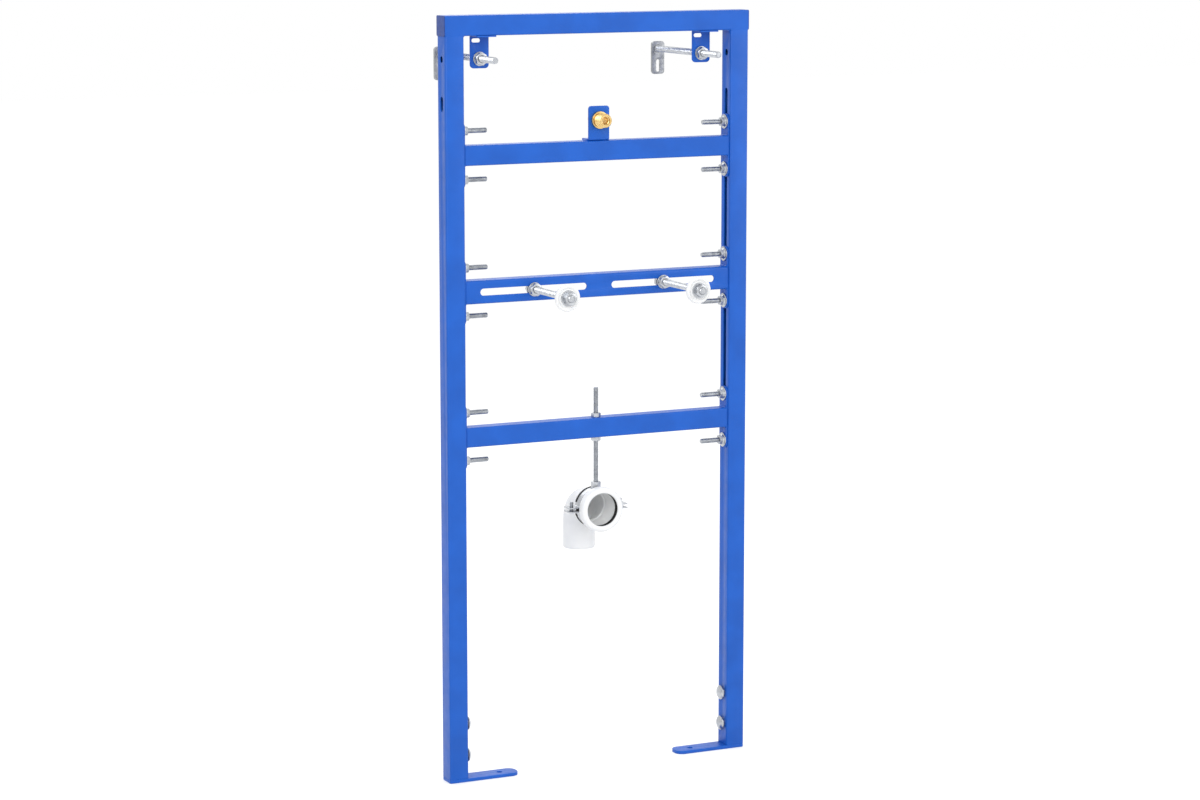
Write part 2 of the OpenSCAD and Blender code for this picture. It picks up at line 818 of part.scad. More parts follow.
module waste_elbow() {
    bend_y = mouth_y + socket_l + bend_lead;
    color(white_plastic)
        difference() {
            union() {
                rod_to_front(mid_x, mouth_y + socket_l + elbow_wall, elbow_z, 2 * socket_out,
                    socket_l + elbow_wall);
                rod_to_front(mid_x, mouth_y + lip_l, elbow_z, lip_d, lip_l);
                difference() {
                    elbow_core(pipe_d / 2, 0);
                    translate([mid_x, bend_y + bend_r, elbow_z - spigot_drop])
                        rotate_extrude()
                            polygon([[pipe_d / 2 - spigot_bevel, 0], [pipe_d / 2 + cut, 0],
                                [pipe_d / 2 + cut, spigot_bevel + cut]]);
                }
            }
            elbow_core(spigot_in, cut);
            rod_to_front(mid_x, mouth_y + socket_l, elbow_z, 2 * socket_r, socket_l + cut);
            rod_to_front(mid_x, mouth_y + lip_l - lip_wall, elbow_z, 2 * groove_r,
                lip_l - 2 * lip_wall);
        }
}

// Rubber ring in the groove behind the lip
module elbow_seal() {
    color(black_rubber)
        difference() {
            rod_to_front(mid_x, mouth_y + lip_l - lip_wall - play, elbow_z,
                2 * (groove_r - play), lip_l - 2 * lip_wall - 2 * play);
            rod_to_front(mid_x, mouth_y + lip_l, elbow_z, 2 * socket_r, lip_l);
        }
}

upright(true);  // left_upright
upright(false);  // right_upright
top_rail();
end_caps();
foot(true);  // left_foot
foot(false);  // right_foot
foot_bolts();
wall_bracket(true);  // left_wall_bracket
wall_bracket(false);  // right_wall_bracket
wall_rod(true);  // left_wall_rod
wall_rod(false);  // right_wall_rod
wall_rod_nuts();
wall_plate(true);  // left_wall_plate
wall_plate(false);  // right_wall_plate
tube_bar(upper_z);  // upper_bar
bar_plates(upper_z);  // upper_bar_plates
bar_bolts(upper_z);  // upper_bar_bolts
bar_nuts(upper_z);  // upper_bar_nuts
middle_bar();
bar_plates(middle_z);  // middle_bar_plates
bar_bolts(middle_z);  // middle_bar_bolts
bar_nuts(middle_z);  // middle_bar_nuts
lower_bar();
bar_plates(lower_z);  // lower_bar_plates
bar_bolts(lower_z);  // lower_bar_bolts
bar_nuts(lower_z);  // lower_bar_nuts
inlet_bracket();
inlet_fitting();
inlet_lock_nut();
basin_stud(true);  // left_basin_stud
stud_nuts(true);  // left_stud_nuts
stud_disc(true);  // left_stud_disc
basin_stud(false);  // right_basin_stud
stud_nuts(false);  // right_stud_nuts
stud_disc(false);  // right_stud_disc
hanger_rod();
hanger_nuts();
clamp_upper_half();
clamp_lower_half();
clamp_lining();
clamp_screws();
waste_elbow();
elbow_seal();
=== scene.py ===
import json
import math

import bmesh
import bpy
from mathutils import Matrix, Vector


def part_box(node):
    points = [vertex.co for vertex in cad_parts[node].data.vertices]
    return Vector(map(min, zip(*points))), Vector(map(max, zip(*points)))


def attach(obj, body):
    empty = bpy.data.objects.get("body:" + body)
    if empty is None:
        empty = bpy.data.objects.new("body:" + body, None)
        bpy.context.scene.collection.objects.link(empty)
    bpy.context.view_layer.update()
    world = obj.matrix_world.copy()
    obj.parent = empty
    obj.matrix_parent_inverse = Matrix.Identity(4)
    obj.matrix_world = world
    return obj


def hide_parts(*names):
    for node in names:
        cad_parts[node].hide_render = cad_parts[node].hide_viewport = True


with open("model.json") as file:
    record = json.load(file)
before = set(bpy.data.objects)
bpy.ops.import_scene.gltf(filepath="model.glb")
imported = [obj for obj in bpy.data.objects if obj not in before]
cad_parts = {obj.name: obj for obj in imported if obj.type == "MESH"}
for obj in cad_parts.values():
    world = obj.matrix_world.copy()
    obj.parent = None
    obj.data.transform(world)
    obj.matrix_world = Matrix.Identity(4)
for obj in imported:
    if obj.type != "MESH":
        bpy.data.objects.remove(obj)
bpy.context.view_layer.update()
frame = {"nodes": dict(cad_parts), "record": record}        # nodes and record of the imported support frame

print("frame loaded:", len(frame["nodes"]), "nodes")

# Shapes are worked out in millimetres and made in metres.
metre = 0.001


def nodeBox(node):
    low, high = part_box(node)
    return low / metre, high / metre


# Camera: the photograph's angle, seen from the left and a little above

camera = {
    "position": (-1.914, -4.468, 1.355),
    "yaw": 25.76,      # degrees to the right of straight at the wall
    "pitch": 9.04,     # degrees downward
    "lens": 99.4,      # mm on a 36 mm wide frame
}


def makeCamera(c):
    data = bpy.data.cameras.new("photoCamera")
    data.lens = c["lens"]
    data.sensor_width = 36
    data.clip_start, data.clip_end = 0.05, 60
    obj = bpy.data.objects.new("photoCamera", data)
    bpy.context.scene.collection.objects.link(obj)
    yaw, pitch = math.radians(c["yaw"]), math.radians(c["pitch"])
    ahead = Vector((math.sin(yaw) * math.cos(pitch), math.cos(yaw) * math.cos(pitch), -math.sin(pitch)))
    obj.location = c["position"]
    obj.rotation_euler = ahead.to_track_quat("-Z", "Y").to_euler()
    bpy.context.scene.camera = obj


makeCamera(camera)
bpy.context.scene.view_settings.view_transform = "Standard"


# Materials

def linearColour(hexCode):
    parts = [int(hexCode[i:i + 2], 16) / 255 for i in (0, 2, 4)]
    return [p / 12.92 if p <= 0.04045 else ((p + 0.055) / 1.055) ** 2.4 for p in parts] + [1.0]


def perMetre(sizeMm):
    return 1000 / sizeMm       # texture scale for a pattern that repeats every sizeMm


def addNode(tree, kind, sockets=None, **settings):
    node = tree.nodes.new(kind)
    for name, value in settings.items():
        setattr(node, name, value)
    for name, value in (sockets or {}).items():
        if isinstance(value, bpy.types.NodeSocket):
            tree.links.new(value, node.inputs[name])
        else:
            node.inputs[name].default_value = value
    return node


def newMaterial(name):
    material = bpy.data.materials.new(name)
    material.use_nodes = True
    material.node_tree.nodes.clear()
    tree = material.node_tree
    place = addNode(tree, "ShaderNodeTexCoord").outputs["Object"]
    return material, tree, place


def finishMaterial(tree, shader):
    addNode(tree, "ShaderNodeOutputMaterial", {"Surface": shader.outputs[0]})


def noiseRamp(tree, place, sizeMm, low, high, detail=2.0):
    # noise that runs from one value or colour to another
    noise = addNode(tree, "ShaderNodeTexNoise", {"Vector": place, "Scale": perMetre(sizeMm), "Detail": detail})
    ramp = addNode(tree, "ShaderNodeValToRGB", {"Fac": noise.outputs[0]})
    for stop, at, value in zip(ramp.color_ramp.elements, (0.32, 0.68), (low, high)):
        stop.position = at
        stop.color = value if isinstance(value, list) else [value, value, value, 1]
    return ramp.outputs[0]


def bumpFrom(tree, height, depthMm, strength=1.0, below=None):
    sockets = {"Height": height, "Distance": depthMm * metre, "Strength": strength}
    if below is not None:
        sockets["Normal"] = below
    return addNode(tree, "ShaderNodeBump", sockets).outputs[0]


powderCoat = {"colour": "0F5CC2", "shade": "0C55B6", "roughness": (0.36, 0.44), "peel": 1.1, "grain": 0.35}


def powderCoatMaterial(name, p):
    # Polyester powder coat, baked: even satin blue with a faint orange peel
    material, tree, place = newMaterial(name)
    colour = noiseRamp(tree, place, 45, linearColour(p["shade"]), linearColour(p["colour"]))
    roughness = noiseRamp(tree, place, 12, p["roughness"][0], p["roughness"][1])
    peel = addNode(tree, "ShaderNodeTexNoise", {"Vector": place, "Scale": perMetre(p["peel"]), "Detail": 1.0})
    grain = addNode(tree, "ShaderNodeTexNoise", {"Vector": place, "Scale": perMetre(p["grain"]), "Detail": 2.0})
    normal = bumpFrom(tree, peel.outputs[0], 0.06, 0.5)
    normal = bumpFrom(tree, grain.outputs[0], 0.02, 0.35, normal)
    shader = addNode(tree, "ShaderNodeBsdfPrincipled", {
        "Base Color": colour, "Roughness": roughness, "Normal": normal, "IOR": 1.5,
        "Specular IOR Level": 0.35})
    finishMaterial(tree, shader)
    return material


zinc = {"colour": "C3C6CA", "shade": "A9ACB1", "roughness": (0.24, 0.38), "grain": 1.6}


def zincMaterial(name, z):
    # Electroplated zinc on turned and rolled steel: bright grey, faintly blue, a little cloudy
    material, tree, place = newMaterial(name)
    colour = noiseRamp(tree, place, 7, linearColour(z["shade"]), linearColour(z["colour"]), 3.0)
    roughness = noiseRamp(tree, place, z["grain"], z["roughness"][0], z["roughness"][1], 3.0)
    scratch = addNode(tree, "ShaderNodeTexNoise", {"Vector": place, "Scale": perMetre(0.4), "Detail": 3.0})
    normal = bumpFrom(tree, scratch.outputs[0], 0.02, 0.3)
    shader = addNode(tree, "ShaderNodeBsdfPrincipled", {
        "Base Color": colour, "Metallic": 1.0, "Roughness": roughness, "Normal": normal})
    finishMaterial(tree, shader)
    return material


galvanised = {"colour": "B3B5B7", "shade": "8F9194", "spangle": 6.0, "roughness": (0.34, 0.52)}


def galvanisedMaterial(name, g):
    # Hot-dip galvanised strip: matt grey with crystal spangles of a few millimetres
    material, tree, place = newMaterial(name)
    cells = addNode(tree, "ShaderNodeTexVoronoi", {"Vector": place, "Scale": perMetre(g["spangle"])})
    ramp = addNode(tree, "ShaderNodeValToRGB", {"Fac": cells.outputs["Color"]})
    ramp.color_ramp.elements[0].color = linearColour(g["shade"])
    ramp.color_ramp.elements[1].color = linearColour(g["colour"])
    roughness = noiseRamp(tree, place, 2.5, g["roughness"][0], g["roughness"][1])
    pit = addNode(tree, "ShaderNodeTexNoise", {"Vector": place, "Scale": perMetre(0.8), "Detail": 3.0})
    shader = addNode(tree, "ShaderNodeBsdfPrincipled", {
        "Base Color": ramp.outputs[0], "Metallic": 1.0, "Roughness": roughness,
        "Normal": bumpFrom(tree, pit.outputs[0], 0.03, 0.4)})
    finishMaterial(tree, shader)
    return material


brass = {"colour": "EBCB8C", "shade": "D9B673", "roughness": (0.2, 0.34)}


def brassMaterial(name, b):
    # Turned CW617N-type brass, unlacquered: pale gold with fine lathe rings
    material, tree, place = newMaterial(name)
    colour = noiseRamp(tree, place, 5, linearColour(b["shade"]), linearColour(b["colour"]))
    roughness = noiseRamp(tree, place, 1.5, b["roughness"][0], b["roughness"][1])
    lathe = addNode(tree, "ShaderNodeTexNoise", {"Vector": place, "Scale": perMetre(0.5), "Detail": 2.0})
    shader = addNode(tree, "ShaderNodeBsdfPrincipled", {
        "Base Color": colour, "Metallic": 1.0, "Roughness": roughness,
        "Normal": bumpFrom(tree, lathe.outputs[0], 0.02, 0.3)})
    finishMaterial(tree, shader)
    return material


whitePlastic = {"colour": "F1F2F2", "shade": "E9EAEB", "roughness": (0.3, 0.4)}


def whitePlasticMaterial(name, w):
    # Injection-moulded polypropylene: clean white with a soft gloss and a hint of depth
    material, tree, place = newMaterial(name)
    colour = noiseRamp(tree, place, 30, linearColour(w["shade"]), linearColour(w["colour"]))
    roughness = noiseRamp(tree, place, 6, w["roughness"][0], w["roughness"][1])
    grain = addNode(tree, "ShaderNodeTexNoise", {"Vector": place, "Scale": perMetre(0.9), "Detail": 2.0})
    shader = addNode(tree, "ShaderNodeBsdfPrincipled", {
        "Base Color": colour, "Roughness": roughness, "IOR": 1.49,
        "Subsurface Weight": 0.12, "Subsurface Scale": 0.002, "Subsurface Radius": (1.0, 0.9, 0.8),
        "Normal": bumpFrom(tree, grain.outputs[0], 0.02, 0.25)})
    finishMaterial(tree, shader)
    return material


blackRubber = {"colour": "1A1A1B", "shade": "101011", "roughness": (0.55, 0.72)}
sealRubber = {"colour": "B9BCBE", "shade": "A9ACAF", "roughness": (0.45, 0.6)}
capPlastic = {"colour": "0A3F93", "shade": "083684", "roughness": (0.4, 0.5)}


def mouldedMaterial(name, m, grainMm=0.7):
    # Moulded part: even colour, fine die texture
    material, tree, place = newMaterial(name)
    colour = noiseRamp(tree, place, 8, linearColour(m["shade"]), linearColour(m["colour"]))
    roughness = noiseRamp(tree, place, 3, m["roughness"][0], m["roughness"][1])
    grain = addNode(tree, "ShaderNodeTexNoise", {"Vector": place, "Scale": perMetre(grainMm), "Detail": 2.0})
    shader = addNode(tree, "ShaderNodeBsdfPrincipled", {
        "Base Color": colour, "Roughness": roughness, "IOR": 1.5,
        "Normal": bumpFrom(tree, grain.outputs[0], 0.03, 0.4)})
    finishMaterial(tree, shader)
    return material


finishes = {
    "painted_steel": powderCoatMaterial("blue_powder_coat", powderCoat),
    "zinc_steel": zincMaterial("zinc_plated_steel", zinc),
    "galvanised_steel": galvanisedMaterial("galvanised_strip", galvanised),
    "brass": brassMaterial("turned_brass", brass),
    "white_plastic": whitePlasticMaterial("moulded_white_polypropylene", whitePlastic),
    "black_rubber": mouldedMaterial("black_epdm_rubber", blackRubber),
    "cap_plastic": mouldedMaterial("dark_blue_polyethylene", capPlastic),
}

for part in frame["record"]["subparts"]:
    node = frame["nodes"][part["node"]]
    node.data.materials.clear()
    node.data.materials.append(finishes[part["material_slot"]])
print("materials ready:", len(finishes))


# Shape tools: a shape is (points, faces) in millimetres

def joined(*shapes):
    points, faces = [], []
    for somePoints, someFaces in shapes:
        start = len(points)
        points += somePoints
        faces += [[i + start for i in face] for face in someFaces]
    return points, faces


def moved(shape, matrix):
    return [matrix @ Vector(p) for p in shape[0]], shape[1]


def at(x, y, z):
    return Matrix.Translation((x, y, z))


def turned(axis, degrees):
    return Matrix.Rotation(math.radians(degrees), 4, axis)


# The lathe and rod shapes stand on z = 0; these turn them to point along an axis.
toFront = turned("X", 90)
toBack = turned("X", -90)
toRight = turned("Y", 90)
toLeft = turned("Y", -90)
upright = Matrix.Identity(4)
downward = turned("X", 180)


def ringShape(rings, loop=False, caps=False):
    # quads between rings of as many points each
    count = len(rings[0])
    points = [p for ring in rings for p in ring]
    faces = []
    pairs = len(rings) if loop else len(rings) - 1
    for k in range(pairs):
        a, b = k * count, (k + 1) % len(rings) * count
        for i in range(count):
            j = (i + 1) % count
            faces.append([a + i, a + j, b + j, b + i])
    if caps:
        faces.append(list(range(count))[::-1])
        faces.append([len(points) - count + i for i in range(count)])
    return points, faces


def latheShape(profile, steps=48, loop=True):
    # profile of (radius, z); a closed loop, or open with caps at both ends
    rings = [[Vector((r * math.cos(2 * math.pi * i / steps), r * math.sin(2 * math.pi * i / steps), z))
              for i in range(steps)] for r, z in profile]
    return ringShape(rings, loop=loop, caps=not loop)


def roundedProfile(corners, radius, steps=3):
    # closed profile whose corners are rounded
    result = []
    count = len(corners)
    for k in range(count):
        before, here, after = (Vector(corners[(k + d) % count]) for d in (-1, 0, 1))
        into, out = (before - here), (after - here)
        size = min(radius, into.length * 0.45, out.length * 0.45)
        start, end = here + into.normalized() * size, here + out.normalized() * size
        for n in range(steps + 1):
            t = n / steps
            result.append(tuple((1 - t) ** 2 * start + 2 * t * (1 - t) * here + t * t * end))
    return result


def discShape(innerR, outerR, height, edge=0.3, steps=48):
    corners = [(innerR, 0), (outerR, 0), (outerR, height), (innerR, height)]
    return latheShape(roundedProfile(corners, edge), steps)


def nutShape(acrossFlats, height, bore, steps=48):
    # hexagonal nut, both faces chamfered at 30 degrees, the bore countersunk
    half, face, sink = acrossFlats / 2, acrossFlats * 0.48, bore / 2 + 0.5
    slope = math.tan(math.radians(30))
    rings = []
    for kind, r, z in (("round", sink, 0), ("round", face, 0), ("hex", 1, 0), ("hex", -1, height),
                       ("round", face, height), ("round", sink, height),
                       ("round", bore / 2, height - 0.5), ("round", bore / 2, 0.5)):
        ring = []
        for i in range(steps):
            angle = 2 * math.pi * i / steps
            radius, level = r, z
            if kind == "hex":
                offset = (angle + math.pi / 6) % (math.pi / 3) - math.pi / 6
                radius = half / math.cos(offset)
                level = z + r * (radius - face) * slope
            ring.append(Vector((radius * math.cos(angle), radius * math.sin(angle), level)))
        rings.append(ring)
    return ringShape(rings, loop=True)


def threadShape(diameter, pitch, length, steps=20, innerR=None):
    # rod with a real helical thread, both ends chamfered
    crest = diameter / 2
    root = crest - 0.61 * pitch
    tip = root - 0.15 * pitch
    stops = ((0.0, crest), (0.125, crest), (0.44, root), (0.69, root))
    turns = math.ceil(length / pitch) + 3
    points, faces = [], []
    for turn in range(turns):
        for phase, radius in stops:
            for i in range(steps):
                z = pitch * (turn - 2 + phase + i / steps)
                z = min(max(z, 0), length)
                r = min(radius, tip + min(z, length - z))
                angle = 2 * math.pi * i / steps
                points.append(Vector((r * math.cos(angle), r * math.sin(angle), z)))
    rows = turns * len(stops)
    perTurn = len(stops)
    for row in range(rows - 1):
        for i in range(steps):
            a, b = row * steps + i, (row + 1) * steps + i
            if i < steps - 1:
                faces.append([a, a + 1, b + 1, b])
            elif row + 1 + perTurn < rows:
                c = (row + perTurn) * steps
                faces.append([a, c, c + steps, b])
    return points, faces


def rectanglePoints(width, height, radius, perCorner=6):
    # outline with rounded corners, round the origin
    result = []
    for cx, cy, start in ((1, 1, 0), (-1, 1, 90), (-1, -1, 180), (1, -1, 270)):
        for n in range(perCorner + 1):
            angle = math.radians(start + 90 * n / perCorner)
            result.append((cx * (width / 2 - radius) + radius * math.cos(angle),
                           cy * (height / 2 - radius) + radius * math.sin(angle)))
    return result


def tubeShape(width, height, wall, radius, length):
    # square tube along Z from z = 0
    inner = max(radius - wall, 0.4)
    rings = []
    for points, z in ((rectanglePoints(width, height, radius), 0),
                      (rectanglePoints(width, height, radius), length),
                      (rectanglePoints(width - 2 * wall, height - 2 * wall, inner), length),
                      (rectanglePoints(width - 2 * wall, height - 2 * wall, inner), 0)):
        rings.append([Vector((x, y, z)) for x, y in points])
    return ringShape(rings, loop=True)


def prismShape(outline, z0, z1):
    # solid between two levels over an outline
    rings = [[Vector((x, y, z)) for x, y in outline] for z in (z0, z1)]
    return ringShape(rings, caps=True)


def sheetShape(outline, holes, thickness, edge=0.35):
    # flat plate on z = 0 with all its edges rounded; outlines are (x, y) lists
    data = bpy.data.curves.new("sheet", "CURVE")
    data.dimensions = "2D"
    data.fill_mode = "BOTH"
    data.extrude = thickness / 2 - edge
    data.bevel_depth = edge
    data.bevel_resolution = 2
    for points in [outline] + holes:
        spline = data.splines.new("POLY")
        spline.points.add(len(points) - 1)
        for point, (x, y) in zip(spline.points, points):
            point.co = (x, y, 0, 1)
        spline.use_cyclic_u = True
    obj = bpy.data.objects.new("sheet", data)
    bpy.context.scene.collection.objects.link(obj)
    mesh = bpy.data.meshes.new_from_object(obj.evaluated_get(bpy.context.evaluated_depsgraph_get()))
    shape = [v.co + Vector((0, 0, thickness / 2)) for v in mesh.vertices], [list(f.vertices) for f in mesh.polygons]
    bpy.data.objects.remove(obj)
    bpy.data.curves.remove(data)
    bpy.data.meshes.remove(mesh)
    return shape


def slotPoints(length, width, cx=0, cy=0, along="y"):
    points = rectanglePoints(length, width, width / 2 - 0.001) if along == "x" \
        else rectanglePoints(width, length, width / 2 - 0.001)
    return [(x + cx, y + cy) for x, y in points]


def circlePoints(diameter, cx=0, cy=0, steps=32):
    return [(cx + diameter / 2 * math.cos(2 * math.pi * i / steps),
             cy + diameter / 2 * math.sin(2 * math.pi * i / steps)) for i in range(steps)]


def rawObject(shape, name="raw"):
    mesh = bpy.data.meshes.new(name)
    mesh.from_pydata([tuple(p) for p in shape[0]], [], shape[1])
    bm = bmesh.new()
    bm.from_mesh(mesh)
    bmesh.ops.remove_doubles(bm, verts=bm.verts, dist=0.002)
    bmesh.ops.dissolve_degenerate(bm, edges=bm.edges, dist=0.001)
    rim = [e for e in bm.edges if e.is_boundary]
    if rim:
        bmesh.ops.holes_fill(bm, edges=rim)
    bmesh.ops.recalc_face_normals(bm, faces=bm.faces)
    bm.to_mesh(mesh)
    bm.free()
    obj = bpy.data.objects.new(name, mesh)
    bpy.context.scene.collection.objects.link(obj)
    return obj


def cutShape(shape, cutters, edge=0.3, keep=None, angle=50):
    # cuts holes into a solid, trims it to the keep solid and rounds its sharp edges
    obj = rawObject(shape)
    tools = []
    jobs = [(c, "DIFFERENCE") for c in cutters] + ([(keep, "INTERSECT")] if keep else [])
    for tool, operation in jobs:
        other = rawObject(tool)
        tools.append(other)
        modifier = obj.modifiers.new("cut", "BOOLEAN")
        modifier.operation, modifier.object, modifier.solver = operation, other, "EXACT"
    if edge:
        bevel = obj.modifiers.new("edge", "BEVEL")
        bevel.width, bevel.segments, bevel.limit_method = edge, 2, "ANGLE"
        bevel.angle_limit = math.radians(angle)
    mesh = bpy.data.meshes.new_from_object(obj.evaluated_get(bpy.context.evaluated_depsgraph_get()))
    result = [v.co.copy() for v in mesh.vertices], [list(f.vertices) for f in mesh.polygons]
    for old in [obj] + tools:
        bpy.data.objects.remove(old)
    bpy.data.meshes.remove(mesh)
    return result


def makePiece(name, shape, slotName, body, replaces=(), sharp=38):
    obj = rawObject(shape, name)
    obj.data.transform(Matrix.Scale(metre, 4))
    for face in obj.data.polygons:
        face.use_smooth = True
    obj.data.set_sharp_from_angle(angle=math.radians(sharp))
    obj.data.materials.append(finishes[slotName])
    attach(obj, body)
    if replaces:
        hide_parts(*replaces)
    return obj


def mirrored(shape, middle):
    # the same shape on the frame's other side
    points = [Vector((2 * middle - p[0], p[1], p[2])) for p in shape[0]]
    return points, [face[::-1] for face in shape[1]]


railLow, railHigh = nodeBox("top_rail")
middleX = (railLow.x + railHigh.x) / 2


# Uprights: square tube with the long adjusting slot, drilled for the foot bolts

uprightTube = {
    "side": 30, "wall": 2, "corner": 2.6,
    "sideHole": 10, "sideHoleDrop": 64,
    "sideSlot": (22, 10), "sideSlotDrop": 129,
    "slotWidth": 9.5, "slotDrops": (118, 672),
    "footHole": 9, "footHoleLevels": (39, 88),
    "edge": 0.4,
}


def uprightShape(u, low, high, top):
    tube = moved(tubeShape(u["side"], u["side"], u["wall"], u["corner"], high.z - low.z), at(0, 0, low.z))
    half = u["side"] / 2
    reach = u["wall"] + 2
    cutters = [moved(prismShape(circlePoints(u["sideHole"]), -half - 1, half + 1),
                     at(0, 0, top - u["sideHoleDrop"]) @ toRight)]
    long, wide = u["sideSlot"]
    cutters.append(moved(prismShape(slotPoints(long, wide, along="x"), -reach, reach),
                         at(-half, 0, top - u["sideSlotDrop"]) @ toRight))
    upper, lower = (top - drop for drop in u["slotDrops"])
    cutters.append(moved(prismShape(slotPoints(upper - lower, u["slotWidth"], along="x"), -reach, reach),
                         at(half, 0, (upper + lower) / 2) @ toRight))
    for level in u["footHoleLevels"]:
        cutters.append(moved(prismShape(circlePoints(u["footHole"]), 0, half + 1), at(0, 0, level) @ toRight))
    return cutShape(tube, cutters, u["edge"])


lowCorner, highCorner = nodeBox("left_upright")
leftTube = uprightShape(uprightTube, lowCorner, highCorner, railHigh.z)
makePiece("left_upright_tube", leftTube, "painted_steel", "frame", ["left_upright"])
makePiece("right_upright_tube", mirrored(leftTube, middleX), "painted_steel", "frame", ["right_upright"])
print("uprights made")


# Rail end caps and the welds at the frame's corners

capPlate = {"side": 30, "corner": 2.6, "crown": 0.25, "plug": 25, "plugDepth": 14}


def endCapShape(c, thickness):
    # flat plug plate with a soft edge, its rear face on z = 0
    plate = sheetShape(rectanglePoints(c["side"] - 2 * 0.45, c["side"] - 2 * 0.45, c["corner"] - 0.45), [],
                       thickness, 0.45)
    return plate


leftCap, rightCap = nodeBox("end_caps")
capThickness = railLow.x - leftCap.x
railZ = (railLow.z + railHigh.z) / 2
capShape = moved(endCapShape(capPlate, capThickness), at(railLow.x, 0, railZ) @ toLeft)
plugShape = moved(prismShape(rectanglePoints(capPlate["plug"], capPlate["plug"], 1), 0, capPlate["plugDepth"]),
                  at(railLow.x, 0, railZ) @ toRight)
capPair = joined(capShape, plugShape)
makePiece("rail_end_caps", joined(capPair, mirrored(capPair, middleX)), "cap_plastic", "frame", ["end_caps"])

weld = {"leg": 1.7, "ripple": 2.4, "step": 0.6, "height": 0.18}


def weldShape(start, end, w):
    # fillet weld along a line, with the ripples that the torch leaves
    start, end = Vector(start), Vector(end)
    along = (end - start).normalized()
    side = along.orthogonal().normalized()
    other = along.cross(side)
    length = (end - start).length
    count = max(4, round(length / w["step"]))
    rings = []
    for n in range(count + 1):
        s = length * n / count
        taper = min(1, 0.35 + min(s, length - s) / 2)
        radius = taper * (w["leg"] + w["height"] * abs(math.sin(math.pi * s / w["ripple"])))
        rings.append([start + along * s + radius * (side * math.cos(2 * math.pi * i / 10)
                                                    + other * math.sin(2 * math.pi * i / 10)) for i in range(10)])
    return ringShape(rings, caps=True)


def cornerFill(x0, x1, y, z, size):
    # ground weld that fills the tube's rounded edge where two tubes meet flush
    sign = 1 if y > 0 else -1
    outline = [(x0, y - sign * size), (x1, y - sign * size), (x1, y - sign * 0.01), (x0, y - sign * 0.01)]
    return prismShape(outline, z - 0.3, z + size + 0.1)


halfTube = uprightTube["side"] / 2
frameWelds = []
for x in (-halfTube + 0.3, 2 * middleX - halfTube + 0.3):
    for y in (-halfTube, halfTube):
        frameWelds.append(cornerFill(x, x + 2 * halfTube - 0.6, y, railLow.z, uprightTube["corner"]))
for x in (halfTube, 2 * middleX - halfTube):
    frameWelds.append(weldShape((x, -halfTube + 2, railLow.z), (x, halfTube - 2, railLow.z), weld))
makePiece("frame_corner_welds", joined(*frameWelds), "painted_steel", "frame")
print("end caps and corner welds made")


# Feet: floor plate with a rounded toe, welded to a stem that stands in the upright

footPlate = {"toe": 12, "heel": 3, "edge": 0.5, "hole": 9, "holeIn": 28, "stem": 25, "stemWall": 2, "stemTop": 130,
             "boltHole": 9}


def footShape(f, low, high):
    thickness = 5
    e = f["edge"]
    halfWidth = (high.y - low.y) / 2 - e
    x0, x1 = low.x + e, high.x - e
    outline = []
    for cx, cy, r, start in ((x1, halfWidth, f["toe"] - e, 0), (x0, halfWidth, f["heel"] - e, 90),
                             (x0, -halfWidth, f["heel"] - e, 180), (x1, -halfWidth, f["toe"] - e, 270)):
        sx, sy = (-1 if cx == x1 else 1), (-1 if cy > 0 else 1)
        for n in range(9):
            angle = math.radians(start + 90 * n / 8)
            outline.append((cx + sx * r + r * math.cos(angle), cy + sy * r + r * math.sin(angle)))
    plate = sheetShape(outline, [circlePoints(f["hole"] + 2 * e, high.x - f["holeIn"], 0)], thickness, e)
    stem = cutShape(moved(tubeShape(f["stem"], f["stem"], f["stemWall"], 2.4, f["stemTop"] - 1), at(0, 0, 1)),
                    [moved(prismShape(circlePoints(f["boltHole"]), -20, 20), at(0, 0, level) @ toRight)
                     for level in uprightTube["footHoleLevels"]])
    return joined(plate, stem)


lowCorner, highCorner = nodeBox("left_foot")
leftFoot = footShape(footPlate, lowCorner, highCorner)
makePiece("left_foot_plate", leftFoot, "painted_steel", "frame", ["left_foot"])
makePiece("right_foot_plate", mirrored(leftFoot, middleX), "painted_steel", "frame", ["right_foot"])

domedBolt = {"head": 22, "rise": 6, "rim": 1.5, "collar": 14, "collarHeight": 3, "shank": 8, "pitch": 1.25}


def domedBoltShape(b, inside):
    # mushroom-headed bolt; z = 0 is the upright's inner face, the head above
    dome = b["rise"] - b["rim"]
    sphere = (b["head"] ** 2 / 4 + dome ** 2) / (2 * dome)
    base = b["collarHeight"]
    profile = [(b["collar"] / 2, 0), (b["collar"] / 2, base), (b["head"] / 2 - 0.5, base),
               (b["head"] / 2, base + 0.5), (b["head"] / 2, base + b["rim"])]
    widest = math.asin(min(1, b["head"] / 2 / sphere))
    for n in range(1, 12):
        angle = widest * (1 - n / 12)
        profile.append((sphere * math.sin(angle), base + b["rise"] - sphere + sphere * math.cos(angle)))
    head = latheShape(profile, 48, loop=False)
    shank = moved(threadShape(b["shank"], b["pitch"], inside + 1), at(0, 0, -inside))
    return joined(head, shank)


footBolts = []
lowCorner, highCorner = nodeBox("foot_bolts")
for level in uprightTube["footHoleLevels"]:
    bolt = moved(domedBoltShape(domedBolt, halfTube - lowCorner.x), at(halfTube, 0, level) @ toRight)
    footBolts += [bolt, mirrored(bolt, middleX)]
makePiece("foot_clamp_bolts", joined(*footBolts), "zinc_steel", "frame", ["foot_bolts"])
print("feet made")


# Crossbars: end plates, slot bolts with washers and flanged nuts, weld seams

endPlate = {"width": 24, "corner": 8, "hole": 9, "edge": 0.4}
slotBolt = {"diameter": 8, "pitch": 1.25, "spread": 36, "headLong": 18, "headWide": 13, "headThick": 5,
            "washer": 22, "washerThick": 1.6, "flats": 13, "nutHeight": 6.5, "collar": 17, "collarHeight": 1.4}


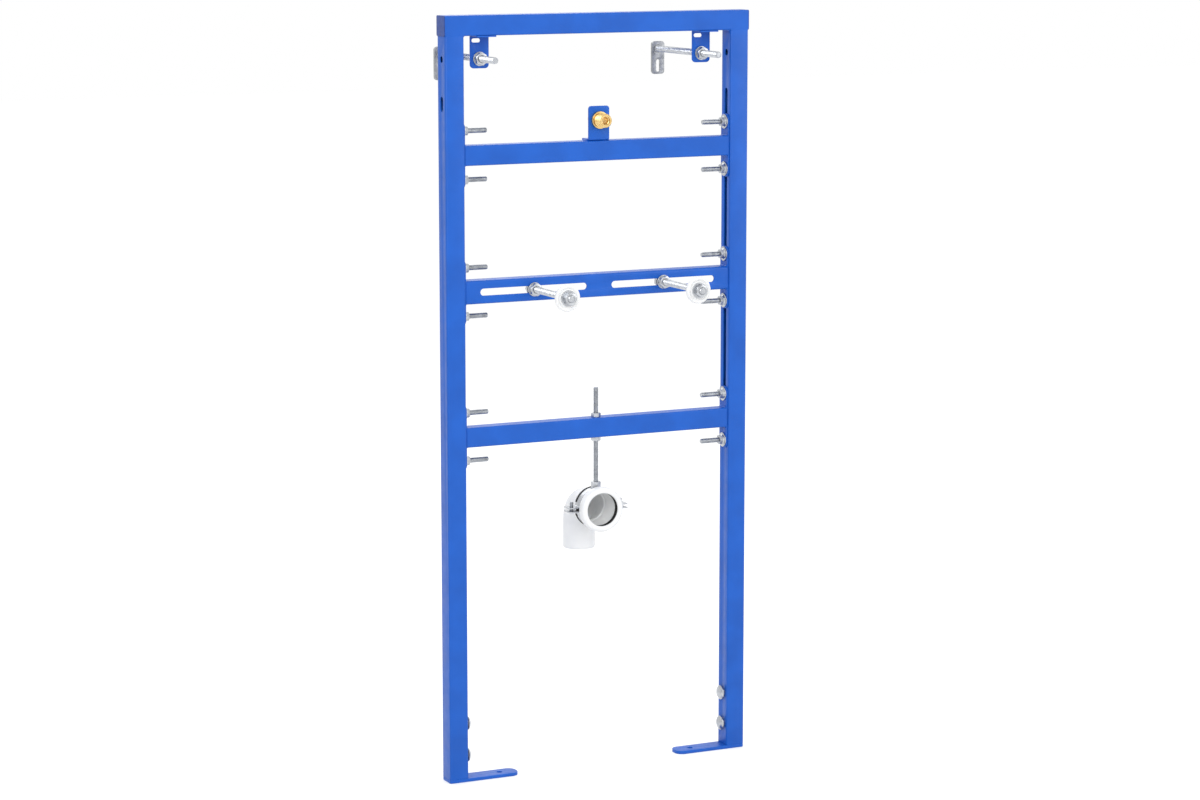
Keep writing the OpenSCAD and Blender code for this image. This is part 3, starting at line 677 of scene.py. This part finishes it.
def endPlateShape(p, low, high, spread):
    e = p["edge"]
    height = high.z - low.z
    outline = rectanglePoints(p["width"] - 2 * e, height - 2 * e, p["corner"] - e)
    holes = [circlePoints(p["hole"] + 2 * e, 0, s * spread) for s in (-1, 1)]
    return sheetShape(outline, holes, 2, e)


def slotNutShape(b):
    # washer, then a hexagonal nut whose foot widens into a small flange
    washer = discShape(b["diameter"] / 2 + 0.25, b["washer"] / 2, b["washerThick"], 0.35)
    foot = latheShape(roundedProfile([(b["diameter"] / 2 + 0.3, 0), (b["collar"] / 2, 0),
                                      (b["flats"] / 2 - 0.4, b["collarHeight"] + 0.9),
                                      (b["diameter"] / 2 + 0.3, b["collarHeight"] + 0.9)], 0.25))
    nut = nutShape(b["flats"], b["nutHeight"], b["diameter"] + 0.1)
    return joined(washer, moved(foot, at(0, 0, b["washerThick"])), moved(nut, at(0, 0, b["washerThick"])))


def hammerHead(b):
    # flat head that catches the slot from inside the tube, just below z = 0
    block = prismShape(rectanglePoints(b["headWide"] - 0.01, b["headLong"] - 0.01, 1.5), -b["headThick"], 0)
    return cutShape(block, [], 0.5)


def dressBar(bar, body, barHalf, barDepth):
    plateLow, plateHigh = nodeBox(bar + "_plates")
    level = (plateLow.z + plateHigh.z) / 2
    boltLow, boltHigh = nodeBox(bar + "_bolts")
    faceX = plateLow.x
    plate = moved(endPlateShape(endPlate, plateLow, plateHigh, slotBolt["spread"]),
                  at(faceX, 0, level) @ turned("Z", 90) @ toFront)
    makePiece(bar + "_end_plates", joined(plate, mirrored(plate, middleX)), "painted_steel", body,
              [bar + "_plates"])
    wallInside = faceX - uprightTube["wall"]
    free = boltHighOut[bar] - wallInside
    bolts, nuts = [], []
    for sign in (-1, 1):
        z = level + sign * slotBolt["spread"]
        shank = moved(threadShape(slotBolt["diameter"], slotBolt["pitch"], free + 1), at(wallInside - 1, 0, z) @ toRight)
        head = moved(hammerHead(slotBolt), at(wallInside, 0, z) @ toRight)
        bolts += [shank, head]
        nuts.append(moved(slotNutShape(slotBolt), at(faceX + 2, 0, z) @ toRight))
    bolts = joined(*bolts)
    nuts = joined(*nuts)
    makePiece(bar + "_slot_bolts", joined(bolts, mirrored(bolts, middleX)), "zinc_steel", body, [bar + "_bolts"])
    makePiece(bar + "_slot_nuts", joined(nuts, mirrored(nuts, middleX)), "zinc_steel", body, [bar + "_nuts"])
    seams = []
    for sign in (-1, 1):
        z = level + sign * barHalf
        seams.append(weldShape((faceX + 2, -barDepth / 2 + 2, z), (faceX + 2, barDepth / 2 - 2, z), weld))
    seams = joined(*seams)
    makePiece(bar + "_welds", joined(seams, mirrored(seams, middleX)), "painted_steel", body)
    return level


boltOut = 41      # how far the slot bolts stand out past the upright's inner face
boltHighOut = {bar: halfTube + boltOut for bar in ("upper_bar", "middle_bar", "lower_bar")}
upperLevel = dressBar("upper_bar", "upper_crossbar", 15, 25)
middleLevel = dressBar("middle_bar", "middle_crossbar", 17.5, 25)
lowerLevel = dressBar("lower_bar", "lower_crossbar", 15, 25)
print("crossbar fittings made")


# Middle crossbar: folded channel with two long slots in its web

channel = {"sheet": 3, "fold": 3.5, "slotHeight": 10.5, "slotIn": 20.5, "slotEnd": 23, "edge": 0.4}


def channelShape(c, low, high):
    outer = c["fold"]
    depth, height, t = high.y - low.y, high.z - low.z, c["sheet"]
    inner = outer - t + 0.3

    def arc(cx, cz, r, start, end):
        return [(cx + r * math.cos(math.radians(start + (end - start) * n / 6)),
                 cz + r * math.sin(math.radians(start + (end - start) * n / 6))) for n in range(7)]

    top = height / 2
    profile = [(depth, top)] + arc(outer, top - outer, outer, 90, 180) + arc(outer, outer - top, outer, 180, 270)
    profile += [(depth, -top), (depth, t - top)]
    profile += arc(t + inner, t + inner - top, inner, 270, 180) + arc(t + inner, top - t - inner, inner, 180, 90)
    profile += [(depth, top - t)]
    length = high.x - low.x
    rings = [[Vector((x, low.y + y, z + (low.z + high.z) / 2)) for y, z in profile] for x in (low.x, high.x)]
    body = ringShape(rings, caps=True)
    slotLong = length / 2 - c["slotEnd"] - c["slotIn"]
    cutters = [moved(prismShape(slotPoints(slotLong, c["slotHeight"], along="x"), -t - 2, 2),
                     at((low.x + high.x) / 2 + s * (c["slotIn"] + slotLong / 2), low.y, (low.z + high.z) / 2) @ toFront)
               for s in (-1, 1)]
    return cutShape(body, cutters, c["edge"])


lowCorner, highCorner = nodeBox("middle_bar")
makePiece("middle_bar_channel", channelShape(channel, lowCorner, highCorner), "painted_steel", "middle_crossbar",
          ["middle_bar"])
print("channel made")


# Folded brackets: one sheet bent through a right angle, corners rounded, then drilled

def foldedShape(legUp, legBack, width, t, fold):
    # sheet whose leg rises along Z from the fold and whose foot runs back along Y
    def arc(r, start, end):
        return [(fold + r * math.cos(math.radians(start + (end - start) * n / 6)),
                 fold + r * math.sin(math.radians(start + (end - start) * n / 6))) for n in range(7)]

    profile = [(0, legUp)] + arc(fold, 180, 270) + [(legBack, 0), (legBack, t)] + arc(fold - t, 270, 180) + [(t, legUp)]
    rings = [[Vector((x, y, z)) for y, z in profile] for x in (-width / 2, width / 2)]
    return ringShape(rings, caps=True)


inletBracket = {"sheet": 3, "fold": 4, "corner": 4.5, "hole": 21.1, "holeUp": 31, "edge": 0.35}
wallBracket = {"sheet": 2, "fold": 3, "corner": 6, "hole": 11, "rodDrop": 35, "slot": (14, 6), "slotDown": 8,
               "slotSide": 5.5, "edge": 0.3}


def inletBracketShape(b, low, high):
    height, depth, width = high.z - low.z, high.y - low.y, high.x - low.x
    sheet = foldedShape(height, depth, width, b["sheet"], b["fold"])
    mask = prismShape(rectanglePoints(width, height * 2, b["corner"]), -depth - 5, 5)
    hole = prismShape(circlePoints(b["hole"], 0, b["holeUp"]), -b["sheet"] - 2, 2)
    shape = cutShape(sheet, [moved(hole, toFront)], b["edge"], moved(mask, toFront))
    return moved(shape, at((low.x + high.x) / 2, low.y, low.z))


lowCorner, highCorner = nodeBox("inlet_bracket")
makePiece("inlet_angle", inletBracketShape(inletBracket, lowCorner, highCorner), "painted_steel", "upper_crossbar",
          ["inlet_bracket"])
inletSeams = [weldShape((x, lowCorner.y + 4, lowCorner.z), (x, highCorner.y - 3, lowCorner.z), weld)
              for x in (lowCorner.x, highCorner.x)]
makePiece("inlet_angle_welds", joined(*inletSeams), "painted_steel", "upper_crossbar")


def wallBracketShape(b, low, high, rodX):
    # made upside down like the inlet's, then turned over so that the foot lies under the rail
    height, depth, width = high.z - low.z, high.y - low.y, high.x - low.x
    sheet = foldedShape(height, depth, width, b["sheet"], b["fold"])
    mask = prismShape(rectanglePoints(width, height * 2, b["corner"]), -depth - 5, 5)
    rodHole = prismShape(circlePoints(b["hole"], 0, b["rodDrop"]), -b["sheet"] - 2, 2)
    long, wide = b["slot"]
    side = prismShape(slotPoints(long, wide, -b["slotSide"], b["slotDown"], "x"), -b["sheet"] - 2, 2)
    shape = cutShape(sheet, [moved(rodHole, toFront), moved(side, toFront)], b["edge"], moved(mask, toFront))
    return moved(shape, at(rodX, high.y, high.z) @ turned("X", 180) @ Matrix.Identity(4))


for side in ("left", "right"):
    lowCorner, highCorner = nodeBox(side + "_wall_bracket")
    rodLow, rodHigh = nodeBox(side + "_wall_rod")
    rodX = (rodLow.x + rodHigh.x) / 2
    makePiece(side + "_wall_angle", wallBracketShape(wallBracket, lowCorner, highCorner, rodX), "painted_steel",
              "frame", [side + "_wall_bracket"])
    seams = [weldShape((x, lowCorner.y + 3, highCorner.z), (x, highCorner.y - 4, highCorner.z),
                       {**weld, "leg": 1.3}) for x in (lowCorner.x, highCorner.x)]
    makePiece(side + "_wall_angle_welds", joined(*seams), "painted_steel", "frame")
print("brackets made")


# Wall fixings: threaded rods, nuts and slotted plates

bigThread = {"diameter": 10, "pitch": 1.5, "flats": 17, "nutHeight": 8, "washer": 21, "washerThick": 2}
wallPlate = {"width": 21.5, "corner": 5, "slot": (19.5, 6.6), "slotEdge": 3.5, "edge": 0.5}


def bigNutShape(b, washer=None):
    disc = discShape(b["diameter"] / 2 + 0.25, (washer or b["washer"]) / 2, b["washerThick"], 0.35)
    nut = nutShape(b["flats"], b["nutHeight"], b["diameter"] + 0.1)
    return joined(disc, moved(nut, at(0, 0, b["washerThick"])))


def rodAlongY(low, high, thread):
    length = high.y - low.y
    middle = ((low.x + high.x) / 2, high.y, (low.z + high.z) / 2)
    return moved(threadShape(thread["diameter"], thread["pitch"], length), at(*middle) @ toFront)


wallNuts = []
bracketFront, bracketRear = halfTube - wallBracket["sheet"], halfTube
for side in ("left", "right"):
    rodLow, rodHigh = nodeBox(side + "_wall_rod")
    makePiece(side + "_wall_threaded_rod", rodAlongY(rodLow, rodHigh, bigThread), "zinc_steel", "frame",
              [side + "_wall_rod"])
    x, z = (rodLow.x + rodHigh.x) / 2, (rodLow.z + rodHigh.z) / 2
    wallNuts.append(moved(bigNutShape(bigThread), at(x, bracketFront, z) @ toFront @ turned("Z", 12)))
    wallNuts.append(moved(bigNutShape(bigThread), at(x, bracketRear, z) @ toBack @ turned("Z", 21)))
    plateLow, plateHigh = nodeBox(side + "_wall_plate")
    p = wallPlate
    height, thickness, e = plateHigh.z - plateLow.z, plateHigh.y - plateLow.y, p["edge"]
    long, wide = p["slot"]
    hole = slotPoints(long + 2 * e, wide + 2 * e, 0, p["slotEdge"] + long / 2 - height / 2)
    strap = sheetShape(rectanglePoints(p["width"] - 2 * e, height - 2 * e, p["corner"] - e), [hole], thickness, e)
    strap = moved(strap, at(x, plateHigh.y, (plateLow.z + plateHigh.z) / 2) @ toFront)
    seamR = bigThread["diameter"] / 2
    seam = latheShape(roundedProfile([(seamR - 1, 0), (seamR + 1.6, 0), (seamR + 0.2, 1.8), (seamR - 1, 1.8)], 0.5))
    makePiece(side + "_wall_strap", joined(strap, moved(seam, at(x, plateLow.y, z) @ toFront)),
              "galvanised_steel", "frame", [side + "_wall_plate"])
makePiece("wall_rod_nuts_and_washers", joined(*wallNuts), "zinc_steel", "frame", ["wall_rod_nuts"])
print("wall fixings made")


# Water inlet: turned brass fitting with a pipe thread, held by a lock nut

inlet = {"thread": 20.9, "pitch": 1.81, "bore": 13, "flange": 26, "flangeThick": 5, "front": 24, "tail": 16,
         "lockFlats": 27, "lockHeight": 6}

fittingLow, fittingHigh = nodeBox("inlet_fitting")
inletZ = (fittingLow.z + fittingHigh.z) / 2
bracketLow, bracketHigh = nodeBox("inlet_bracket")
inletFace = bracketLow.y


def boredThread(diameter, pitch, length, bore):
    # threaded sleeve with an open bore, standing on z = 0
    return cutShape(threadShape(diameter, pitch, length, 28), [prismShape(circlePoints(bore, steps=40), -1, length + 1)],
                    edge=0)


frontLong = inletFace - inlet["flangeThick"] - fittingLow.y
nose = boredThread(inlet["thread"], inlet["pitch"], frontLong, inlet["bore"])
flange = latheShape(roundedProfile([(inlet["bore"] / 2, 0), (inlet["flange"] / 2, 0),
                                    (inlet["flange"] / 2, inlet["flangeThick"]),
                                    (inlet["bore"] / 2, inlet["flangeThick"])], 0.6))
innerRib = latheShape(roundedProfile([(inlet["bore"] / 2 - 1.2, 5), (inlet["bore"] / 2 + 0.3, 5),
                                      (inlet["bore"] / 2 + 0.3, frontLong - 3),
                                      (inlet["bore"] / 2 - 1.2, frontLong - 4)], 0.4))
lockLow, lockHigh = nodeBox("inlet_lock_nut")
rearLong = lockHigh.y - inletFace
middlePart = latheShape([(inlet["bore"] / 2, 0), (inlet["thread"] / 2 - 0.4, 0),
                         (inlet["thread"] / 2 - 0.4, rearLong - 0.4), (inlet["thread"] / 2 - 1, rearLong),
                         (inlet["bore"] / 2, rearLong)])
tailLong = fittingHigh.y - lockHigh.y
tailPart = latheShape(roundedProfile([(inlet["bore"] / 2, 0), (inlet["tail"] / 2, 0), (inlet["tail"] / 2, tailLong),
                                      (inlet["bore"] / 2, tailLong)], 0.5))
fitting = joined(moved(nose, at(middleX, inletFace - inlet["flangeThick"], inletZ) @ toFront),
                 moved(flange, at(middleX, inletFace, inletZ) @ toFront),
                 moved(innerRib, at(middleX, inletFace - inlet["flangeThick"], inletZ) @ toFront),
                 moved(middlePart, at(middleX, inletFace, inletZ) @ toBack),
                 moved(tailPart, at(middleX, lockHigh.y, inletZ) @ toBack))
makePiece("inlet_brass_fitting", fitting, "brass", "upper_crossbar", ["inlet_fitting"])
lockNut = moved(nutShape(inlet["lockFlats"], inlet["lockHeight"], inlet["thread"] + 0.1),
                at(middleX, lockLow.y, inletZ) @ toBack)
makePiece("inlet_brass_lock_nut", lockNut, "brass", "upper_crossbar", ["inlet_lock_nut"])
print("water inlet made")


# Basin studs: threaded rod, nuts on the web, plastic disc with its washer and nut

stud = {"discR": 20, "discThick": 7, "tipIn": 2.5, "discWasher": 24}


def discProfile(d):
    # ring-shaped face: rounded rim, shallow dish, raised seat for the washer; the face is at z = thick
    t, hole = d["discThick"], bigThread["diameter"] / 2 + 0.1
    return [(hole, 0), (d["discR"] - 3.2, 0), (d["discR"] - 1.4, 0.5), (d["discR"] - 0.4, 1.6),
            (d["discR"], 3.2), (d["discR"] - 0.2, 5), (d["discR"] - 1.1, 6.4), (d["discR"] - 2.6, t),
            (d["discR"] - 4.3, 6.7), (d["discR"] - 5.4, 5.9), (d["discR"] - 6, 5.4),
            (d["discWasher"] / 2 + 0.7, 5.4), (d["discWasher"] / 2 + 0.4, 5.7), (d["discWasher"] / 2, t), (hole, t)]


for side in ("left", "right"):
    body = side + "_stud"
    studLow, studHigh = nodeBox(side + "_basin_stud")
    makePiece(side + "_basin_threaded_stud", rodAlongY(studLow, studHigh, bigThread), "zinc_steel", body,
              [side + "_basin_stud"])
    x, z = (studLow.x + studHigh.x) / 2, (studLow.z + studHigh.z) / 2
    channelLow, channelHigh = nodeBox("middle_bar")
    webFront, webRear = channelLow.y, channelLow.y + channel["sheet"]
    turn = 8 if side == "left" else -14
    discLow, discHigh = nodeBox(side + "_stud_disc")
    nuts = joined(moved(bigNutShape(bigThread), at(x, webFront, z) @ toFront @ turned("Z", turn)),
                  moved(bigNutShape(bigThread), at(x, webRear, z) @ toBack @ turned("Z", turn + 20)),
                  moved(bigNutShape(bigThread, stud["discWasher"]), at(x, discLow.y, z) @ toFront
                        @ turned("Z", turn + 9)))
    makePiece(side + "_stud_nuts_and_washers", nuts, "zinc_steel", body, [side + "_stud_nuts"])
    disc = moved(latheShape(discProfile(stud), 64), at(x, discHigh.y, z) @ toFront)
    makePiece(side + "_basin_disc", disc, "white_plastic", body, [side + "_stud_disc"])
print("basin studs made")


# Waste hanger: rod through the lower bar, with a nut above and below

hanger = {"diameter": 8, "pitch": 1.25, "flats": 13, "nutHeight": 6.5}
rodLow, rodHigh = nodeBox("hanger_rod")
rod = moved(threadShape(hanger["diameter"], hanger["pitch"], rodHigh.z - rodLow.z), at(middleX, 0, rodLow.z))
makePiece("hanger_threaded_rod", rod, "zinc_steel", "lower_crossbar", ["hanger_rod"])
nutLow, nutHigh = nodeBox("hanger_nuts")
hangerNut = nutShape(hanger["flats"], hanger["nutHeight"], hanger["diameter"] + 0.1)
makePiece("hanger_rod_nuts", joined(moved(hangerNut, at(middleX, 0, nutHigh.z - hanger["nutHeight"]) @ turned("Z", 10)),
                                    moved(hangerNut, at(middleX, 0, nutLow.z) @ turned("Z", -6))),
          "zinc_steel", "lower_crossbar", ["hanger_nuts"])


# Pipe clamp: two folded steel half bands on a rubber lining that laps over their edges

clamp = {"width": 20, "sheet": 2, "linedR": 28.7, "gap": 4, "earReach": 49, "fold": 2.6, "screwX": 41,
         "screw": 6, "screwPitch": 1.0, "screwUp": 7.5, "head": 10, "headThick": 1.2,
         "bossFlats": 13, "bossHigh": 9.5, "lap": 3.2, "lapRise": 0.7, "liningThick": 1.5}

elbowLow, elbowHigh = nodeBox("clamp_lining")
axisZ = (elbowLow.z + elbowHigh.z) / 2


def bandPath(c):
    # middle line of the upper half: ear, fold, arc over the pipe, fold, ear
    radius = c["linedR"] + c["sheet"] / 2
    level = c["gap"] / 2 + c["sheet"] / 2
    fold = c["fold"]
    centreZ = level + fold
    centreX = math.sqrt((radius + fold) ** 2 - centreZ ** 2)
    start = math.atan2(centreZ, centreX)
    right = [(c["earReach"], level), (c["screwX"] + 4, level), (c["screwX"] - 4, level)]
    for n in range(7):
        angle = 1.5 * math.pi - (1.5 * math.pi - (math.pi + start)) * n / 6
        right.append((centreX + fold * math.cos(angle), centreZ + fold * math.sin(angle)))
    steps = 30
    arc = [(radius * math.cos(start + (math.pi - 2 * start) * n / steps),
            radius * math.sin(start + (math.pi - 2 * start) * n / steps)) for n in range(1, steps)]
    return right + arc + [(-x, z) for x, z in right[::-1]]


def bandShape(path, width, sheet, edge=0.5):
    # sweeps the sheet's cross-section along a path in the XZ plane
    section = roundedProfile([(-sheet / 2, -width / 2), (sheet / 2, -width / 2), (sheet / 2, width / 2),
                              (-sheet / 2, width / 2)], edge)
    rings = []
    for k, (x, z) in enumerate(path):
        x0, z0 = path[max(k - 1, 0)]
        x1, z1 = path[min(k + 1, len(path) - 1)]
        along = Vector((x1 - x0, 0, z1 - z0)).normalized()
        normal = Vector((-along.z, 0, along.x))
        rings.append([Vector((x, 0, z)) + normal * a + Vector((0, b, 0)) for a, b in section])
    return ringShape(rings, caps=True)


def drilled(shape, c):
    holes = [prismShape(circlePoints(c["screw"] + 1, s * c["screwX"], 0), -8, 8) for s in (-1, 1)]
    return cutShape(shape, holes, 0)


upperBand = drilled(bandShape(bandPath(clamp), clamp["width"], clamp["sheet"]), clamp)
bandTop = clamp["linedR"] + clamp["sheet"]
boss = moved(nutShape(clamp["bossFlats"], clamp["bossHigh"] + 0.6, hanger["diameter"] + 0.1), at(0, 0, bandTop - 0.6))
bossSeam = latheShape(roundedProfile([(5.5, -0.8), (8.6, -0.8), (7.1, 1.2), (5.5, 1.2)], 0.4))
upperHalf = joined(upperBand, boss, moved(bossSeam, at(0, 0, bandTop - 0.2)))
centre = at(middleX, 0, axisZ)
makePiece("clamp_upper_band", moved(upperHalf, centre), "zinc_steel", "lower_crossbar", ["clamp_upper_half"])
makePiece("clamp_lower_band", moved(upperBand, centre @ turned("Y", 180)), "zinc_steel", "lower_crossbar",
          ["clamp_lower_half"])


def liningShape(c):
    half, inner, outer = c["width"] / 2, c["linedR"] - c["liningThick"], c["linedR"]
    ring = latheShape(roundedProfile([(inner + 0.02, -half), (outer - 0.02, -half), (outer - 0.02, half),
                                      (inner + 0.02, half)], 0.3), 72)
    parts = [moved(ring, toFront)]
    r0, r1 = outer - 0.4, c["linedR"] + c["sheet"] + c["lapRise"]
    for side in (-1, 1):
        section = [(r0, side * (half + 0.4)), (r1, side * (half + 0.4)), (r1, side * (half - c["lap"])),
                   (r1 - c["lapRise"], side * (half - c["lap"] - 0.3)), (r0, side * (half - 0.3))]
        section = roundedProfile(section, 0.35, 2)
        for start in (17, 197):
            rings = []
            for n in range(37):
                angle = math.radians(start + 146 * n / 36)
                rings.append([Vector((r * math.cos(angle), y, r * math.sin(angle))) for r, y in section])
            parts.append(ringShape(rings, caps=True))
    return joined(*parts)


makePiece("clamp_rubber_lining", moved(liningShape(clamp), centre), "black_rubber", "lower_crossbar",
          ["clamp_lining"])


def clampScrew(c):
    grip = c["gap"] + 2 * c["sheet"]
    head = discShape(0.5, c["head"] / 2, c["headThick"], 0.4, 36)
    shank = threadShape(c["screw"], c["screwPitch"], grip + c["headThick"] + c["screwUp"] - 0.4)
    return moved(joined(head, moved(shank, at(0, 0, 0.4))), at(0, 0, -grip / 2 - c["headThick"]))


screws = joined(*[moved(clampScrew(clamp), centre @ at(s * clamp["screwX"], 0, 0)) for s in (-1, 1)])
makePiece("clamp_screw_pair", screws, "zinc_steel", "lower_crossbar", ["clamp_screws"])
print("pipe clamp made")


# Waste elbow: moulded in one piece, lipped socket to the front, plain spigot down

elbow = {"socketR": 25.2, "socketOut": 27.2, "pipeR": 25, "boreR": 23, "socketLong": 46, "lipR": 34.5, "lipLong": 15,
         "grooveR": 32, "lipWall": 2.5, "lead": 10, "bend": 30, "steps": 72}

elbowLow, elbowHigh = nodeBox("waste_elbow")


def elbowPath(e, s):
    # place, direction and cross direction at a distance s along the middle line from the mouth
    straight = e["socketLong"] + e["lead"]
    quarter = e["bend"] * math.pi / 2
    if s <= straight:
        return Vector((0, s, 0)), Vector((0, 0, 1))
    if s <= straight + quarter:
        angle = (s - straight) / e["bend"]
        centre = Vector((0, straight, -e["bend"]))
        up = Vector((0, math.sin(angle), math.cos(angle)))
        return centre + up * e["bend"], up
    down = s - straight - quarter
    return Vector((0, straight + e["bend"], -e["bend"] - down)), Vector((0, 1, 0))


def elbowShape(e, drop):
    end = e["socketLong"] + e["lead"] + e["bend"] * math.pi / 2 + drop - e["bend"]
    lipR, out = e["lipR"], e["socketOut"]
    outside = [(2.2, 25.2), (1.1, 25.6), (0.4, 26.6), (0, 28.2), (0, 29.6), (0.3, 31.2), (1.1, 32.8), (2.3, 33.9),
               (3.8, lipR), (e["lipLong"] - 3.2, lipR), (e["lipLong"] - 1.4, lipR - 0.5), (e["lipLong"] - 0.3, lipR - 1.8),
               (e["lipLong"], lipR - 3.4), (e["lipLong"] + 0.2, out + 1.2), (e["lipLong"] + 0.7, out + 0.3),
               (e["lipLong"] + 1.8, out)]
    outside += [(e["socketLong"] - 1, out), (e["socketLong"] + 1.2, out - 0.4), (e["socketLong"] + 3.2, 25.6),
                (e["socketLong"] + 4.6, 25.1), (e["socketLong"] + 6, 25)]
    straight = e["socketLong"] + e["lead"]
    quarter = e["bend"] * math.pi / 2
    outside += [(straight + quarter * n / 24, e["pipeR"]) for n in range(25)]
    outside += [(end - 3.5, e["pipeR"]), (end - 0.6, e["pipeR"] - 0.6), (end, e["pipeR"] - 1.1)]
    inside = [(end, e["boreR"] + 0.4), (end - 0.5, e["boreR"])]
    inside += [(straight + quarter * n / 24, e["boreR"]) for n in range(24, -1, -1)]
    inside += [(e["socketLong"] + 0.6, e["boreR"]), (e["socketLong"], e["boreR"] + 0.6), (e["socketLong"], e["socketR"] - 0.3),
               (e["socketLong"] - 0.4, e["socketR"]), (e["lipLong"] - e["lipWall"], e["socketR"]),
               (e["lipLong"] - e["lipWall"], e["grooveR"]), (e["lipWall"], e["grooveR"]), (e["lipWall"], 25.2)]
    rings = []
    for s, r in outside + inside:
        place, up = elbowPath(e, s)
        rings.append([place + r * (up * math.cos(2 * math.pi * i / e["steps"])
                                   + Vector((1, 0, 0)) * math.sin(2 * math.pi * i / e["steps"]))
                      for i in range(e["steps"])])
    return ringShape(rings, loop=True)


mouth = at(middleX, elbowLow.y, axisZ)
makePiece("white_waste_elbow", moved(elbowShape(elbow, axisZ - elbowLow.z), mouth), "white_plastic",
          "lower_crossbar", ["waste_elbow"])


def sealShape(e):
    # lipped sealing ring in the socket's groove
    front, rear = e["lipWall"] + 0.1, e["lipLong"] - e["lipWall"] - 0.1
    outer = e["grooveR"] - 0.1
    profile = [(outer, front), (outer, rear), (outer - 2, rear), (e["socketR"] + 2.6, rear - 2.2),
               (e["socketR"] + 0.1, rear - 0.6), (e["socketR"] - 0.1, rear - 1.6), (e["socketR"] + 1.4, front + 3.4),
               (e["socketR"] + 0.3, front + 1.4), (e["socketR"] + 0.2, front)]
    return moved(latheShape(roundedProfile(profile, 0.5), 64), toBack)


makePiece("elbow_sealing_ring", moved(sealShape(elbow), mouth), "black_rubber", "lower_crossbar", ["elbow_seal"])
print("waste elbow made")


# Stage: pale floor, even studio light

stage = {"floor": 30.0, "floorColour": "E4E4E4", "floorGlow": 0.35, "skyStrength": 0.85,
         "key": (-1.6, -3.2, 2.6, 60, 2.2), "fill": (2.6, -2.4, 1.8, 22, 2.0), "rim": (0.5, 2.6, 2.6, 25, 2.4)}


def pathFactor(tree):
    # 1 for what the camera sees directly, in a mirror or through glass
    path = addNode(tree, "ShaderNodeLightPath")
    first = addNode(tree, "ShaderNodeMath", {0: path.outputs["Is Camera Ray"], 1: path.outputs["Is Glossy Ray"]},
                    operation="MAXIMUM")
    return addNode(tree, "ShaderNodeMath", {0: first.outputs[0], 1: path.outputs["Is Transmission Ray"]},
                   operation="MAXIMUM").outputs[0]


def makeWorld(s):
    world = bpy.data.worlds.new("studio")
    world.use_nodes = True
    tree = world.node_tree
    tree.nodes.clear()
    light = addNode(tree, "ShaderNodeBackground", {"Color": [1, 1, 1, 1], "Strength": s["skyStrength"]})
    white = addNode(tree, "ShaderNodeBackground", {"Color": [1, 1, 1, 1], "Strength": 1.0})
    mix = addNode(tree, "ShaderNodeMixShader", {0: pathFactor(tree), 1: light.outputs[0], 2: white.outputs[0]})
    addNode(tree, "ShaderNodeOutputWorld", {"Surface": mix.outputs[0]})
    bpy.context.scene.world = world


def makeFloor(s):
    mesh = bpy.data.meshes.new("studio_floor")
    half = s["floor"] / 2
    mesh.from_pydata([(-half, -half, 0), (half, -half, 0), (half, half, 0), (-half, half, 0)], [], [(0, 1, 2, 3)])
    floor = bpy.data.objects.new("studio_floor", mesh)
    floor.location.z = -0.0003
    bpy.context.scene.collection.objects.link(floor)
    material = bpy.data.materials.new("matt_white_floor")
    material.use_nodes = True
    tree = material.node_tree
    tree.nodes.clear()
    paint = addNode(tree, "ShaderNodeBsdfDiffuse", {"Color": linearColour(s["floorColour"])})
    strength = addNode(tree, "ShaderNodeMath", {0: pathFactor(tree), 1: s["floorGlow"]}, operation="MULTIPLY")
    glow = addNode(tree, "ShaderNodeEmission", {"Strength": strength.outputs[0]})
    lit = addNode(tree, "ShaderNodeAddShader", {0: paint.outputs[0], 1: glow.outputs[0]})
    clear = addNode(tree, "ShaderNodeBsdfTransparent")
    facing = addNode(tree, "ShaderNodeNewGeometry")
    mix = addNode(tree, "ShaderNodeMixShader", {0: facing.outputs["Backfacing"], 1: lit.outputs[0], 2: clear.outputs[0]})
    addNode(tree, "ShaderNodeOutputMaterial", {"Surface": mix.outputs[0]})
    mesh.materials.append(material)


def makeLamp(name, x, y, z, power, size):
    data = bpy.data.lights.new(name, "AREA")
    data.energy, data.size = power, size
    lamp = bpy.data.objects.new(name, data)
    lamp.location = (x, y, z)
    target = Vector((0.235, 0, 0.6))
    lamp.rotation_euler = (target - lamp.location).to_track_quat("-Z", "Y").to_euler()
    bpy.context.scene.collection.objects.link(lamp)


makeWorld(stage)
makeFloor(stage)
for lampName in ("key", "fill", "rim"):
    makeLamp(lampName + "_softbox", *stage[lampName])
print("stage ready")
